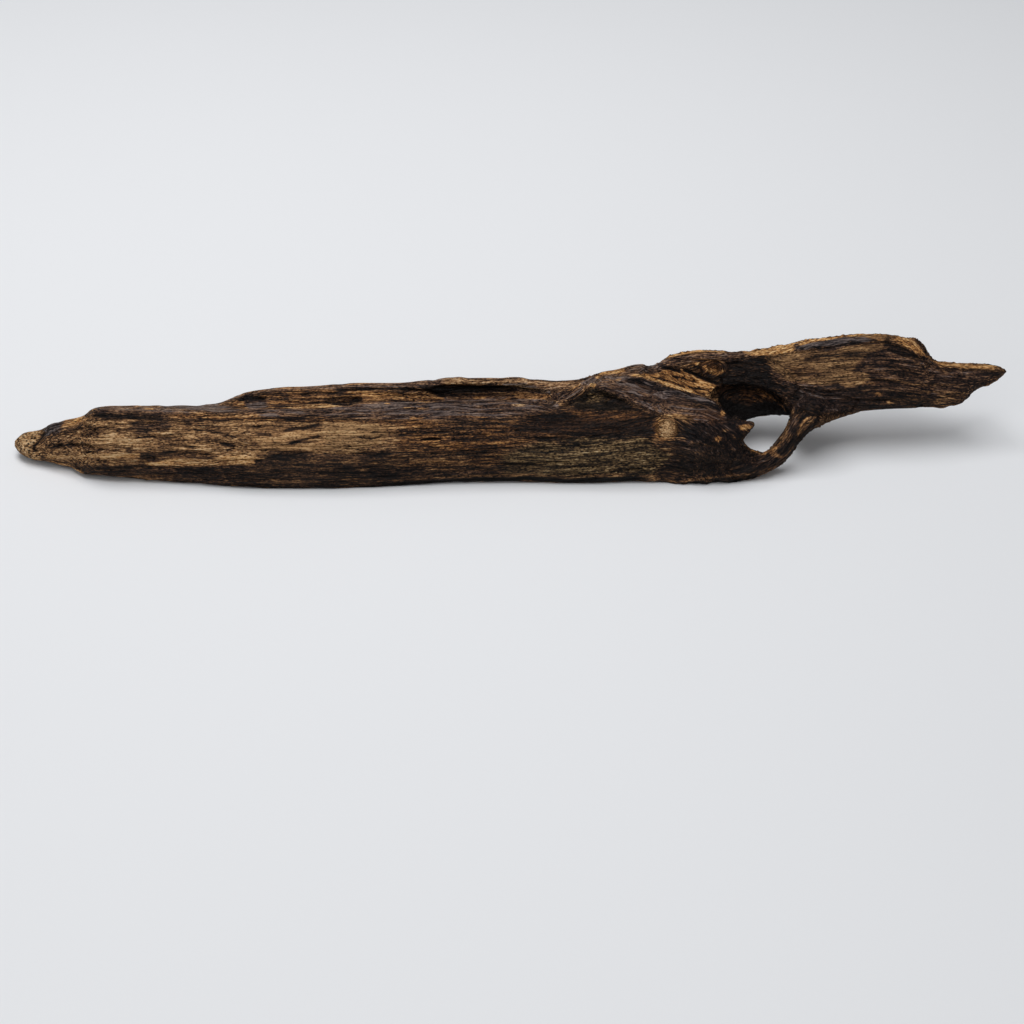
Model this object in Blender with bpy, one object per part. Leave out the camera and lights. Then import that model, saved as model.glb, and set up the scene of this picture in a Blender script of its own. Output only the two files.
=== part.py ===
"""Agarwood piece: a long, dark, weathered length of resinous wood that forks into
two limbs, which meet again round a small eye-shaped hole.

The wood is laid out in millimetres along X, with +Z up and the floor at z = 0.
Its outline is given as sight points: where a point of the surface is seen from
the front, looking 35 degrees down, in 1/1024 of the view's width, and how deep
it lies. Points that can't be seen from there are given by depth and height.
Cross-sections through those points are lofted along the length, joined into one
body, smoothed, laid flat on its underside and parted at the fork.
"""

from math import cos, radians, sin

import bmesh
import bpy
import numpy as np

# ---------------------------------------------------------------- dimensions (mm)
SIGHT_TILT = 35.0        # degrees the line of sight looks down
SIGHT_ZOOM = 1024 * 80 / 36.0   # sight units per unit of slope
SIGHT_AIM_Y = -12.0      # depth of the floor point in the middle of the view
SIGHT_RANGE = 667.5      # distance from the eye to that point
MID = (-0.604, 18.462)      # X and Y of the middle of the piece in sight space

STEP = 1.6               # distance between cross-sections
SPLITS = 3               # points between two rails of a cross-section
VOXEL = 0.9              # grain of the joined body
SMOOTHING = 7            # rounds of smoothing on the joined body
TRIANGLES = 7000         # about how many the whole body keeps

PART_GAP = 0.3           # clear space between two parts at a fork
FORK_X = 60.5            # where the two limbs leave the trunk
FORK_LINE = ((60.0, 18.4), (66.0, 17.4), (74.0, 17.2), (88.0, 16.6), (170.0, 15.0))

# ---------------------------------------------------------------- outline, front view
# (across, down) in sight units, left to right.
TRUNK_TOP = (
    (13, 444), (14.6, 440.5), (17, 437.2), (19, 435.4), (22, 433.6), (30, 432), (38, 431.6), (42, 432),
    (44.5, 429.5), (48, 426), (55, 422.3), (66, 418.8), (80, 417), (85.5, 415.6),
    (91, 410.7), (96, 408.3), (105, 407), (126, 406.6), (150, 406), (193, 405.6),
    (214, 405.4), (221, 402.9), (233.5, 397.6), (243.5, 393.2), (258, 390.2),
    (270, 388.5), (290, 387.1), (320, 386.5), (331, 385.6), (343, 384.2), (359, 384),
    (380, 383.5), (413, 382.3), (422, 381.2), (446, 378.7), (460, 377.7), (521, 377.9),
    (539, 379.9), (552, 381.2), (571, 380.9), (582, 379.5), (590.5, 376.4),
    (599, 373), (615, 370.7), (627, 367.5), (638, 363.8), (651, 364.8), (658, 361),
    (666, 356.8), (683, 351.7), (701, 350.3), (726, 350.7), (750, 349.3), (767, 348.2),
    (785, 345), (800, 340.8), (815, 338.6), (830, 337), (846, 334.8), (860, 334),
    (885, 334), (897, 335.8), (905, 338), (913, 340.6), (918, 343.2), (922, 347),
    (925, 352), (930, 357.8), (935, 361), (945, 362.2), (960, 363), (975, 363.4),
    (985, 364), (993, 364.8), (998, 366.6), (1003, 367.9), (1006.4, 369.4), (1008, 370.6),
)
TRUNK_BOTTOM = (
    (13, 444.6), (14.6, 447.3), (17, 450), (19.5, 452), (22, 453.4), (26.4, 456.6), (33, 459),
    (39, 460), (49.4, 463.2), (57.4, 464.8), (69, 466.3), (74.6, 469.2), (80.4, 472),
    (87.3, 475.2), (97.6, 477.4), (115, 478.8), (138, 479.8), (160, 480.6), (179, 481.6),
    (200, 483), (240, 486.4), (270, 488), (300, 488.4), (325, 487.8), (350, 487),
    (380, 486), (405, 484.8), (430, 484), (463, 482.4), (504, 482), (530, 482.2),
    (546, 482.4), (562, 483), (579, 483), (604, 482.4), (639, 481.2), (665, 481.4),
    (690, 478.5), (706, 473), (722, 446), (745, 420), (760, 416.5), (785, 415),
    (810, 415), (835, 414.6), (860, 412.2), (885, 409.8), (897, 409), (902, 407.6),
    (907, 408.6), (920, 407.4), (940, 406.2), (950, 405), (958, 402.6), (963, 400.6),
    (968, 396.5), (972, 392.6), (978, 389.4), (985, 386.6), (995, 381), (1002, 377),
    (1006.4, 374.4), (1008, 373),
)
LIMB_TOP = (
    (650, 440), (652, 424), (655, 411), (660, 402), (675, 397.5), (690, 397.6), (701, 399), (712, 402.8),
    (719, 407), (724, 412.3), (728, 417), (733, 421.5), (738, 429), (742, 438),
    (745, 444.6), (750, 448.6), (757, 451.6), (763, 452.6), (770, 451.6), (778, 450.5),
    (786, 453.3), (788.5, 456.6),
)
LIMB_BOTTOM = (
    (650, 440), (652, 453), (655, 464), (660, 472.5), (666, 477.7), (671, 481.4), (675, 484.2), (681, 485),
    (687, 484.6), (693.5, 484.2), (706, 483.8), (727, 482.8), (750, 479.6), (760, 476.4),
    (767, 473.2), (774, 468.6), (779, 465.4), (785, 461), (787.5, 458.3), (788.5, 457),
)

# ---------------------------------------------------------------- cross-sections
# One row per station along the piece: (across, seen points, hidden points). Seen
# points are (down, depth), from the front of the underside up the front face, over
# the crest and across the top; hidden points are (depth, height), down the back
# and under. The sixteen rails they form run the whole length.
TRUNK = (
    (17, ((449, 16), (447, 15.2), (443.5, 14.9), (440.5, 15.4), (438.6, 16.2),
          (438, 17.2)),
     ((18.2, 6.4), (19, 6.1), (19.6, 5.7), (19.9, 5.3), (20.1, 4.9), (20.1, 4.4),
      (19.9, 3.9), (19.4, 3.4), (18.5, 3), (17.2, 2.8))),
    (22, ((453.5, 15.5), (450, 14), (444, 13.5), (438.5, 14.3), (435.2, 15.7),
          (433.8, 17.3)),
     ((18.8, 7.9), (20.1, 7.3), (21.1, 6.5), (21.7, 5.7), (22.1, 4.9), (22.2, 4.1),
      (21.9, 3.3), (21.1, 2.4), (19.6, 1.5), (17.6, 1.1))),
    (36, ((459, 13.5), (455, 11.9), (446, 11.6), (438, 12.6), (433.5, 14.3),
          (431.7, 16.3)),
     ((18.7, 9.3), (20.5, 8.7), (21.9, 7.9), (22.9, 6.9), (23.5, 5.9), (23.7, 4.9),
      (23.5, 3.9), (22.5, 2.7), (20.5, 1.6), (17, 1.2))),
    (50, ((463, 11.7), (457, 10.1), (446, 9.7), (436, 10.9), (428.5, 12.7), (425, 15)),
     ((17.9, 12.6), (20.1, 11.8), (21.7, 10.6), (22.9, 9.3), (23.7, 7.9), (24, 6.4),
      (23.7, 4.8), (22.7, 3.2), (20.3, 1.7), (15.7, 1))),
    (80, ((472, 7.3), (462, 5.7), (448, 5.3), (434, 6.5), (423, 9.3), (417, 12.7)),
     ((16.1, 16.2), (18.7, 15), (20.9, 13.3), (22.5, 11.4), (23.5, 9.4), (23.9, 7.4),
      (23.5, 5.2), (22.1, 3), (18.5, 1.2), (12.5, 0.7))),
    (100, ((477.3, 4.5), (465, 3), (449.5, 2.6), (431.5, 4.2), (416.5, 7),
           (407.8, 11.2)),
     ((14.6, 20.2), (17.6, 18.3), (20.2, 16), (22.2, 13.6), (23.6, 11.2),
      (24.2, 8.6), (23.8, 6), (22, 3.4), (17.5, 1.3), (10.5, 0.8))),
    (150, ((480.2, 3.7), (467, 2.2), (452, 2), (432.5, 3.8), (417, 7.2),
           (406.2, 11.2)),
     ((14.8, 20.6), (17.8, 18.6), (20.6, 16.4), (22.8, 14), (24.4, 11.4),
      (25.2, 8.8), (24.8, 6), (22.8, 3.2), (18, 0.5), (10.5, -0.1))),
    (205, ((483.3, 2.1), (470, 0.7), (454, 0.9), (434.5, 3.1), (418, 7),
           (406.8, 11.2)),
     ((14.8, 20.7), (17.6, 19), (20.2, 17.8), (22.2, 16.2), (24, 13.8), (25.6, 10.4),
      (25.6, 6.8), (23.4, 3.2), (18.4, -0.2), (10, -0.9))),
    (245, ((486.9, 0.7), (473.5, -0.8), (456, -0.3), (436.3, 2.2), (419.5, 6.7),
           (409.5, 10.8), (405.4, 14.2)),
     ((16.6, 18.6), (18.8, 19.6), (20.2, 20.4), (21.8, 20.4), (26, 14.5),
      (27.2, 8.5), (25, 3.4), (19.5, -0.4), (10, -1))),
    (300, ((488.4, 0.1), (475, -1.2), (457, -0.9), (437.5, 1.9), (420.5, 6.6),
           (410.3, 10.6), (404.3, 14.2)),
     ((17.2, 18.2), (19.6, 20), (21.2, 21.4), (23, 21.4), (27, 16.5), (28.4, 10),
      (26.4, 4.2), (20.5, -0.4), (10, -1))),
    (350, ((486.9, 0.9), (473, -0.6), (456, -0.4), (437, 2.2), (420.3, 6.8),
           (410, 10.7), (402.3, 14.4)),
     ((17.6, 18.2), (20, 20), (21.8, 21.7), (23.6, 21.9), (27.6, 17), (28.9, 10.4),
      (26.8, 4.4), (21, -0.4), (10.6, -1))),
    (400, ((485, 2), (469.5, 0.8), (453, 0.8), (435.5, 3), (420, 7.2), (409.5, 11),
           (401, 14.8)),
     ((18, 18.4), (20.8, 19.6), (22.2, 21.4), (24.2, 22.1), (28.2, 17.2),
      (29.4, 10.6), (27.4, 4.6), (21.5, -0.3), (11.5, -0.9))),
    (430, ((484, 2.6), (467.5, 1.5), (450.5, 1.5), (434.3, 3.6), (419.5, 7.6),
           (409.2, 11.4), (400.3, 15.1)),
     ((19, 17), (23, 18.6), (22.8, 21.4), (24.8, 22.5), (28.8, 17.6), (29.9, 10.8),
      (27.8, 4.9), (22, -0.3), (12, -0.6))),
    (480, ((482.3, 3.2), (464.5, 2.1), (448.5, 2.1), (433, 4.1), (419.2, 8),
           (409, 11.8), (399.5, 15.4)),
     ((19.5, 16), (24, 17.8), (23.6, 21.8), (25.8, 23.2), (29.4, 18), (30.4, 11),
      (28.2, 5), (22.5, -0.3), (12.5, 0.3))),
    (530, ((482.2, 3.2), (463.8, 2.1), (447.5, 2.2), (433, 4.4), (418.6, 8.5),
           (409, 12), (400, 15.4)),
     ((19.5, 17.2), (23.6, 18.8), (23.6, 21.6), (25.8, 22.8), (29.6, 18),
      (30.6, 11.4), (28.4, 5), (23, -0.4), (13, 0.9))),
    (570, ((483, 2.9), (466, 1.6), (447.5, 2.1), (433, 4.4), (418.4, 8.7),
           (409.3, 11.7), (404, 14)),
     ((17, 20.8), (19.6, 21.8), (22, 22.4), (24.6, 22.6), (29.4, 18.5), (30.8, 12),
      (28.8, 5), (23.6, -0.6), (13.4, 0.8))),
    (600, ((482.4, 3), (464.5, 1.8), (447.5, 2.2), (433, 4.4), (418, 8.8),
           (410.3, 10.9), (406, 13)),
     ((14.2, 20.3), (16.8, 24), (20.5, 24.8), (24.8, 25), (29.6, 20), (31.2, 13),
      (29.2, 5.6), (24.4, -0.7), (14, 1.1))),
    (622, ((481.8, 3.3), (464, 1.8), (446.5, 2.2), (432.5, 4.4), (418.4, 8.6),
           (410.3, 10.6), (406.8, 12)),
     ((13.4, 20.7), (15.8, 23), (20.5, 25.1), (26, 25.8), (30.4, 21), (32.2, 14),
      (30, 6.4), (25.2, -0.5), (14.4, 1.3))),
    (640, ((481.2, 3.4), (463, 2), (446, 2.4), (432, 4.6), (418.4, 8.4),
           (405.5, 12.6), (394, 16.2), (385, 19.4), (377, 22.2), (370, 24.6),
           (364.2, 27)),
     ((31.6, 22), (33.4, 15), (31.4, 7.2), (26.4, 0.6), (15, 1.5))),
    (660, ((481.4, 3.6), (463, 2.2), (445.5, 2.6), (431.5, 4.8), (417, 8.6),
           (404.5, 12.4), (385.4, 19.6), (381.4, 22), (372, 25.5), (364.4, 28),
           (359.6, 30)),
     ((33.4, 23.4), (35, 16), (33, 8.4), (27.4, 2.4), (15.6, 1.9))),
    (690, ((478.5, 4.2), (464, 3), (446, 3.2), (431, 5.4), (417, 8.8), (407, 12.2),
           (397, 17.6), (392, 20.6), (380, 25.5), (364, 29), (351.5, 31)),
     ((35, 25.5), (37, 18), (35, 10.2), (29, 5), (17, 3))),
    (706, ((473, 7.5), (460, 6), (444, 6.4), (430, 8.2), (417, 11), (408, 14),
           (400.5, 17.6), (396, 20.5), (383, 25.8), (364, 29.6), (350.6, 31.4)),
     ((35.8, 25.6), (37.8, 18.4), (35.8, 11.2), (30.5, 6.8), (19.5, 5))),
    (722, ((446, 16.5), (436, 16.7), (426, 17.5), (417, 18.9), (408, 20.5),
           (400, 22.3), (392, 23.9), (384, 25.7), (373, 27.8), (360, 29.9),
           (350.8, 31.5)),
     ((36.3, 26.3), (38.3, 19.3), (36.5, 12.7), (32, 8.7), (23.5, 7.7))),
    (745, ((419.5, 21.9), (411, 21.7), (401, 22.7), (391, 24.1), (381, 25.6),
           (372, 27.1), (364, 28.4), (357.5, 29.5), (353, 30.3), (350.2, 31),
           (349.6, 31.9)),
     ((35.9, 27.7), (37.9, 21.2), (36.3, 14.7), (32.3, 10.8), (26.3, 9.6))),
    (785, ((414.8, 21.2), (407, 20.5), (397, 21.3), (386, 22.7), (375, 24.3),
           (365, 25.9), (357, 27.1), (351, 28.1), (347.5, 28.9), (345.4, 29.7),
           (344.9, 30.9)),
     ((34.2, 31), (36.2, 25), (34.2, 18), (29.2, 13), (24.7, 11.8))),
    (830, ((415, 19.5), (406.5, 18.7), (395.5, 19.4), (383.5, 20.9), (371.5, 22.5),
           (361, 24.2), (352, 25.6), (345, 26.7), (340.3, 27.7), (337.8, 28.6),
           (337.2, 29.8)),
     ((33.2, 33.7), (35.2, 27.2), (33.2, 20), (28.2, 15), (23.6, 13.6))),
    (870, ((411.3, 20.3), (403, 19.2), (392, 19.8), (380, 21.2), (368, 22.8),
           (357, 24.4), (348, 25.8), (341, 27), (336.6, 28), (334.4, 29),
           (333.9, 30.2)),
     ((33.5, 34.2), (35.5, 27.7), (33.5, 20.2), (28.5, 15.2), (24, 13.8))),
    (915, ((407.7, 21.8), (400, 20.6), (390, 21), (379, 22.2), (368.5, 23.6),
           (359, 25), (351.5, 26.2), (346.5, 27.2), (343.5, 28.2), (342.3, 29),
           (341.9, 30)),
     ((33, 31.2), (34.5, 26.2), (33, 20.7), (29, 16.2), (25, 14.7))),
    (940, ((406.2, 23), (400.5, 22), (393, 22.2), (385, 23), (378, 24), (372, 25.2),
           (367.5, 26.2), (364.5, 27.2), (362.8, 28), (362.1, 28.8), (361.9, 29.6)),
     ((32, 25.2), (33, 22.2), (32, 18.7), (29, 16.2), (26, 15.2))),
    (970, ((394.6, 25.2), (391.5, 24.6), (387, 24.6), (382, 25.2), (377, 26),
           (372.5, 26.8), (368.5, 27.6), (365.7, 28.2), (364.2, 28.8), (363.5, 29.2),
           (363.4, 29.8)),
     ((31.5, 25), (32.2, 22.7), (31.5, 20.7), (29.5, 18.7), (27, 18))),
    (990, ((384, 26.8), (381, 26.4), (378, 26.4), (375, 26.8), (372, 27.2),
           (369.5, 27.6), (367.2, 28), (365.8, 28.4), (365, 28.8), (364.7, 29.2),
           (364.6, 29.5)),
     ((30.6, 24.5), (31, 23.2), (30.6, 21.8), (29.4, 20.8), (28, 20.4))),
)
TRUNK_TIPS = ((13.0, 444.3, 17.4, 0.5), (1008, 371.8, 28.4, 1))  # + radius

# The front limb, in eleven rails.
LIMB = (
    (660, ((473, 6.2), (463, 5.2), (450, 5.2), (436, 6.8), (420, 9.8), (406, 13),
           (400, 16)),
     ((17, 16.5), (16.5, 11), (14.5, 5), (11, 2.2))),
    (680, ((484.8, 2.4), (470, 2.4), (453, 2.6), (437, 4.4), (421, 8), (407, 12.4),
           (397.6, 16)),
     ((17.8, 17.5), (17.5, 11), (14.5, 3.4), (10, -0.8))),
    (700, ((484, 2.7), (469, 1.4), (453, 1.3), (437, 3.2), (421, 6.8), (408, 11),
           (399, 15)),
     ((18, 18), (18.5, 12), (16, 5), (11, 0.8))),
    (718, ((483.2, 3.1), (468, 1.8), (455, 1.6), (440, 3.2), (426, 6.4), (414, 9.8),
           (406.5, 13.2)),
     ((16.5, 16.5), (17, 11), (15.2, 5), (11, 1.6))),
    (732, ((482.3, 3.5), (468.5, 2.3), (458, 2.1), (446, 3.6), (435, 6), (426, 8.8),
           (420.5, 11.2)),
     ((14.2, 14.5), (15.2, 10), (14.2, 5), (10.5, 2))),
    (740, ((481.4, 3.9), (469.5, 2.9), (461, 2.7), (452, 4), (443, 6), (437, 8.2),
           (433, 10)),
     ((12.8, 11), (14, 8), (13, 4.6), (10, 2.2))),
    (747, ((480, 4.4), (470.5, 3.4), (464.5, 3.2), (458, 4.2), (451.8, 5.8),
           (448, 7.6), (446.2, 9.2)),
     ((12, 8.4), (13, 6.5), (12.2, 4.2), (9.6, 2.4))),
    (765, ((474, 5.2), (469, 4.4), (465, 4.2), (460.5, 4.8), (456.5, 6),
           (453.8, 7.6), (452.8, 9)),
     ((11.5, 6.8), (12.5, 5.2), (11.5, 3.4), (9, 2.2))),
    (778, ((466.2, 6.2), (463.5, 5.4), (460.5, 5.2), (456.8, 5.8), (453.6, 6.8),
           (451.5, 8), (450.5, 9)),
     ((10.8, 6.6), (11.8, 5.6), (11, 4.2), (9, 3.4))),
    (786, ((460, 7.2), (458.8, 6.9), (457.2, 6.8), (455.6, 7.1), (454.4, 7.6),
           (453.6, 8.2), (453.3, 8.8)),
     ((9.6, 5.6), (10, 5.2), (9.7, 4.7), (8.8, 4.4))),
)
LIMB_TIPS = ((650, 440, 10.0, 0.5), (788.6, 456.8, 8.3, 0.5))

# Round members: (across, down, depth, radius) along the middle.
STRUT = (
    (764, 463.5, 8, 2.6), (773, 459, 8.4, 2.9), (780, 452.5, 9.2, 3),
    (785.5, 445.5, 10.3, 3), (791, 438, 11.4, 2.9), (796, 430.5, 12.6, 3.2),
    (800.5, 423.5, 14.3, 3.9), (807, 415, 16.7, 4.9), (817, 407, 20.2, 5.6),
)
# Where the strut flares out along the edge of the rear limb.
FLARE = (
    (808, 414, 17, 3.6), (820, 411.5, 18.6, 3.7), (834, 409.5, 20.2, 3.2),
    (850, 407, 21.6, 2.4), (864, 404.5, 22.8, 1.4),
)
SPUR = (
    (722, 431, 8.4, 4.0), (730, 430.5, 8.2, 3.9), (738, 429.5, 8.0, 3.35),
    (744, 427.4, 7.8, 2.5), (749, 425.6, 7.6, 1.7), (753, 423.6, 7.4, 1.0),
    (756.6, 421.6, 7.2, 0.4),
)
# The hollow that is carved into the underside of the rear limb, behind the eye.
HOLLOW = (
    (712, 396, 21.4, 1.6), (718, 397, 22.3, 3.3), (727, 398, 22.9, 4.5),
    (742, 400, 23.1, 5), (758, 402, 22.7, 4.7), (772, 404.5, 22, 3.8),
    (783, 407, 21, 2.4),
)

WOODS = {
    "trunk": ((0.150, 0.088, 0.048), 0.62),
    "upper_limb": ((0.120, 0.070, 0.040), 0.60),
    "lower_limb": ((0.085, 0.050, 0.032), 0.58),
}

# ---------------------------------------------------------------- lines of sight
COS, SIN = cos(radians(SIGHT_TILT)), sin(radians(SIGHT_TILT))
EYE_Y = SIGHT_AIM_Y - SIGHT_RANGE * COS
EYE_Z = SIGHT_RANGE * SIN


def on_sight(across, down, depth):
    """The point at this depth that is seen at (across, down)."""
    side = (across - 512.0) / SIGHT_ZOOM
    drop = (down - 512.0) / SIGHT_ZOOM
    go_y = COS - drop * SIN
    go_z = -SIN - drop * COS
    run = (depth - EYE_Y) / go_y
    return side * run, depth, EYE_Z + run * go_z


def off_sight(across, depth, height):
    """The point of this depth and height that lies at (across)."""
    run = (depth - EYE_Y) * COS - (height - EYE_Z) * SIN
    return (across - 512.0) / SIGHT_ZOOM * run, depth, height


def seen_at(x, y, z):
    """(across, down) of points, the other way round."""
    run = (y - EYE_Y) * COS - (z - EYE_Z) * SIN
    rise = (y - EYE_Y) * SIN + (z - EYE_Z) * COS
    return 512.0 + SIGHT_ZOOM * x / run, 512.0 - SIGHT_ZOOM * rise / run


class Line:
    """A smooth line through knots that never overshoots them (monotone cubic)."""

    def __init__(self, knots):
        knots = np.array(sorted(map(tuple, knots)), float)
        self.x, self.v = knots[:, 0], knots[:, 1:]
        step = np.diff(self.x)[:, None]
        rate = np.diff(self.v, axis=0) / step
        self.m = np.zeros_like(self.v)
        self.m[0], self.m[-1] = rate[0], rate[-1]
        a, b = rate[:-1], rate[1:]
        w1 = 2 * step[1:] + step[:-1]
        w2 = step[1:] + 2 * step[:-1]
        same = a * b > 0
        safe_a, safe_b = np.where(same, a, 1.0), np.where(same, b, 1.0)
        self.m[1:-1] = np.where(same, (w1 + w2) / (w1 / safe_a + w2 / safe_b), 0.0)

    def __call__(self, x):
        x = np.clip(np.atleast_1d(np.asarray(x, float)), self.x[0], self.x[-1])
        i = np.clip(np.searchsorted(self.x, x) - 1, 0, len(self.x) - 2)
        h = (self.x[i + 1] - self.x[i])[:, None]
        t = (x - self.x[i])[:, None] / h
        t2, t3 = t * t, t * t * t
        return (
            (2 * t3 - 3 * t2 + 1) * self.v[i]
            + (t3 - 2 * t2 + t) * h * self.m[i]
            + (3 * t2 - 2 * t3) * self.v[i + 1]
            + (t3 - t2) * h * self.m[i + 1]
        )


def smooth_ring(points, splits):
    """A closed smooth curve through the points, with extra ones between them."""
    p0, p1 = np.roll(points, 1, 0), points
    p2, p3 = np.roll(points, -1, 0), np.roll(points, -2, 0)
    ring = []
    for k in range(splits):
        t = k / splits
        # centripetal spacing keeps close points from looping
        d1 = np.sqrt(np.linalg.norm(p1 - p0, axis=1) + 1e-9)[:, None]
        d2 = np.sqrt(np.linalg.norm(p2 - p1, axis=1) + 1e-9)[:, None]
        d3 = np.sqrt(np.linalg.norm(p3 - p2, axis=1) + 1e-9)[:, None]
        m1 = d2 * ((p1 - p0) / d1 - (p2 - p0) / (d1 + d2) + (p2 - p1) / d2)
        m2 = d2 * ((p2 - p1) / d2 - (p3 - p1) / (d2 + d3) + (p3 - p2) / d3)
        ring.append(
            (2 * t**3 - 3 * t**2 + 1) * p1
            + (t**3 - 2 * t**2 + t) * m1
            + (3 * t**2 - 2 * t**3) * p2
            + (t**3 - t**2) * m2
        )
    return np.stack(ring, 1).reshape(-1, 2)


def rails_of(stations, tips):
    """The rails through the stations, as lines of (depth, height) along X."""
    count = len(stations[0][1]) + len(stations[0][2])
    knots = [[] for _ in range(count)]
    for across, seen, hidden in stations:
        spots = [on_sight(across, down, depth) for down, depth in seen]
        spots += [off_sight(across, depth, height) for depth, height in hidden]
        for rail, spot in zip(knots, spots):
            rail.append(spot)
    for across, down, depth, radius in tips:
        x, y, z = on_sight(across, down, depth)
        for k, rail in enumerate(knots):
            turn = 2 * np.pi * (k / count) + 3.9
            rail.append((x, y - radius * np.cos(turn), z + radius * np.sin(turn)))
    return [Line(rail) for rail in knots]


def fit_outline(x, ring, top, bottom):
    """Moves a cross-section up or back until its outline is the one seen."""
    y, z = ring[:, 0].copy(), ring[:, 1].copy()
    for _ in range(3):
        across, down = seen_at(x, y, z)
        i, j = int(np.argmin(down)), int(np.argmax(down))
        lift = (down[i] - top(across[i])[0, 0]) / (SIGHT_ZOOM * COS / 690.0)
        share = np.clip((z - z.min()) / max(z[i] - z.min(), 0.5), 0, 1)
        z = z + lift * share * share * (3 - 2 * share)
        across, down = seen_at(x, y, z)
        back = (down[j] - bottom(across[j])[0, 0]) / (SIGHT_ZOOM * SIN / 690.0)
        share = np.clip(1 - (down[j] - down) / 30.0, 0, 1) * np.clip(
            1 - (y - y[j]) / 9.0, 0, 1
        )
        y = y + back * share
    return np.stack([y, z], 1)


def loft(name, stations, tips, top, bottom):
    """A closed skin over the cross-sections, in an object of its own."""
    rails = rails_of(stations, tips)
    top, bottom = Line(top), Line(bottom)
    first = max(rail.x[0] for rail in rails)
    last = min(rail.x[-1] for rail in rails)
    places = np.linspace(first, last, int((last - first) / STEP) + 1)
    dense = np.array([0.25, 0.7, 1.3, 2.2])
    places = np.unique(np.concatenate([places, first + dense, last - dense]))
    bm = bmesh.new()
    rings = []
    for x in places:
        points = np.array([rail(x)[0] for rail in rails])
        ring = smooth_ring(points, SPLITS)
        if first + 0.5 < x < last - 0.5:
            ring = fit_outline(x, ring, top, bottom)
        rings.append([bm.verts.new(to_metres(x, y, z)) for y, z in ring])
    size = len(rings[0])
    for one, two in zip(rings, rings[1:]):
        for k in range(size):
            n = (k + 1) % size
            bm.faces.new((one[k], one[n], two[n], two[k]))
    bm.faces.new(tuple(reversed(rings[0])))
    bm.faces.new(tuple(rings[-1]))
    bmesh.ops.recalc_face_normals(bm, faces=bm.faces)
    return finish(name, bm)


def to_metres(x, y, z):
    return ((x - MID[0]) / 1000.0, (y - MID[1]) / 1000.0, z / 1000.0)


def finish(name, bm):
    mesh = bpy.data.meshes.new(name)
    bm.to_mesh(mesh)
    bm.free()
    obj = bpy.data.objects.new(name, mesh)
    bpy.context.scene.collection.objects.link(obj)
    return obj


def round_member(name, knots, points=40):
    """A round member of changing thickness along a smooth middle line."""
    spots = np.array([(*on_sight(a, d, y), r) for a, d, y, r in knots])
    walk = np.concatenate([[0], np.cumsum(np.linalg.norm(np.diff(spots[:, :3], axis=0), axis=1))])
    line = Line(np.column_stack([walk, spots]))
    curve = bpy.data.curves.new(name, "CURVE")
    curve.dimensions = "3D"
    curve.bevel_depth = 0.001
    curve.bevel_resolution = 6
    curve.use_fill_caps = True
    spline = curve.splines.new("POLY")
    spline.points.add(points - 1)
    for point, s in zip(spline.points, np.linspace(0, walk[-1], points)):
        x, y, z, r = line(s)[0]
        point.co = (*to_metres(x, y, z), 1.0)
        point.radius = r
    obj = bpy.data.objects.new(name, curve)
    bpy.context.scene.collection.objects.link(obj)
    return as_mesh(obj, name)


def as_mesh(obj, name):
    """A new object that holds what obj looks like with its modifiers done."""
    graph = bpy.context.evaluated_depsgraph_get()
    graph.update()
    mesh = bpy.data.meshes.new_from_object(obj.evaluated_get(graph))
    mesh.transform(obj.matrix_world)
    bpy.data.objects.remove(obj, do_unlink=True)
    made = bpy.data.objects.new(name, mesh)
    bpy.context.scene.collection.objects.link(made)
    return made


def joined(name, objects):
    """One object holding all the skins, still overlapping."""
    bm = bmesh.new()
    for obj in objects:
        bm.from_mesh(obj.data)
        bpy.data.objects.remove(obj, do_unlink=True)
    return finish(name, bm)


def cut(obj, tool, operation):
    """A Boolean with the tool, done at once; the tool stays as a wire guide."""
    tool.hide_render = True
    tool.display_type = "WIRE"
    step = obj.modifiers.new("cut", "BOOLEAN")
    step.operation = operation
    step.object = tool
    step.solver = "EXACT"
    return as_mesh(obj, obj.name)


def prism(name, outline, low, high):
    """An upright block over an outline given in plan (mm)."""
    bm = bmesh.new()
    base = [bm.verts.new(to_metres(x, y, low)) for x, y in outline]
    face = bm.faces.new(base)
    grown = bmesh.ops.extrude_face_region(bm, geom=[face])
    rise = (0.0, 0.0, (high - low) / 1000.0)
    bmesh.ops.translate(
        bm, vec=rise, verts=[g for g in grown["geom"] if isinstance(g, bmesh.types.BMVert)]
    )
    bmesh.ops.recalc_face_normals(bm, faces=bm.faces)
    return finish(name, bm)


def wood(name):
    colour, roughness = WOODS[name]
    material = bpy.data.materials.new(name + "_wood")
    material.use_nodes = True
    shader = material.node_tree.nodes["Principled BSDF"]
    shader.inputs["Base Color"].default_value = (*colour, 1.0)
    shader.inputs["Roughness"].default_value = roughness
    shader.inputs["Metallic"].default_value = 0.0
    material.diffuse_color = (*colour, 1.0)
    return material


def whole_piece():
    """The grown piece in one body, before it is parted at the fork."""
    body = joined(
        "body",
        [
            loft("long_body", TRUNK, TRUNK_TIPS, TRUNK_TOP, TRUNK_BOTTOM),
            loft("front_limb", LIMB, LIMB_TIPS, LIMB_TOP, LIMB_BOTTOM),
            round_member("strut", STRUT),
            round_member("flare", FLARE),
            round_member("spur", SPUR),
        ],
    )
    body = one_skin(body)
    body = one_skin(cut(body, round_member("hollow", HOLLOW), "DIFFERENCE"))
    smooth = body.modifiers.new("weathered", "SMOOTH")
    smooth.factor = 0.5
    smooth.iterations = SMOOTHING
    body = as_mesh(body, "body")
    rest_flat(body, 0.0)
    return body


def one_skin(obj):
    """The same shape in even facets, with whatever overlapped grown together."""
    remesh = obj.modifiers.new("one_skin", "REMESH")
    remesh.mode = "VOXEL"
    remesh.voxel_size = VOXEL / 1000.0
    remesh.adaptivity = 0.0
    return as_mesh(obj, obj.name)


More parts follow.
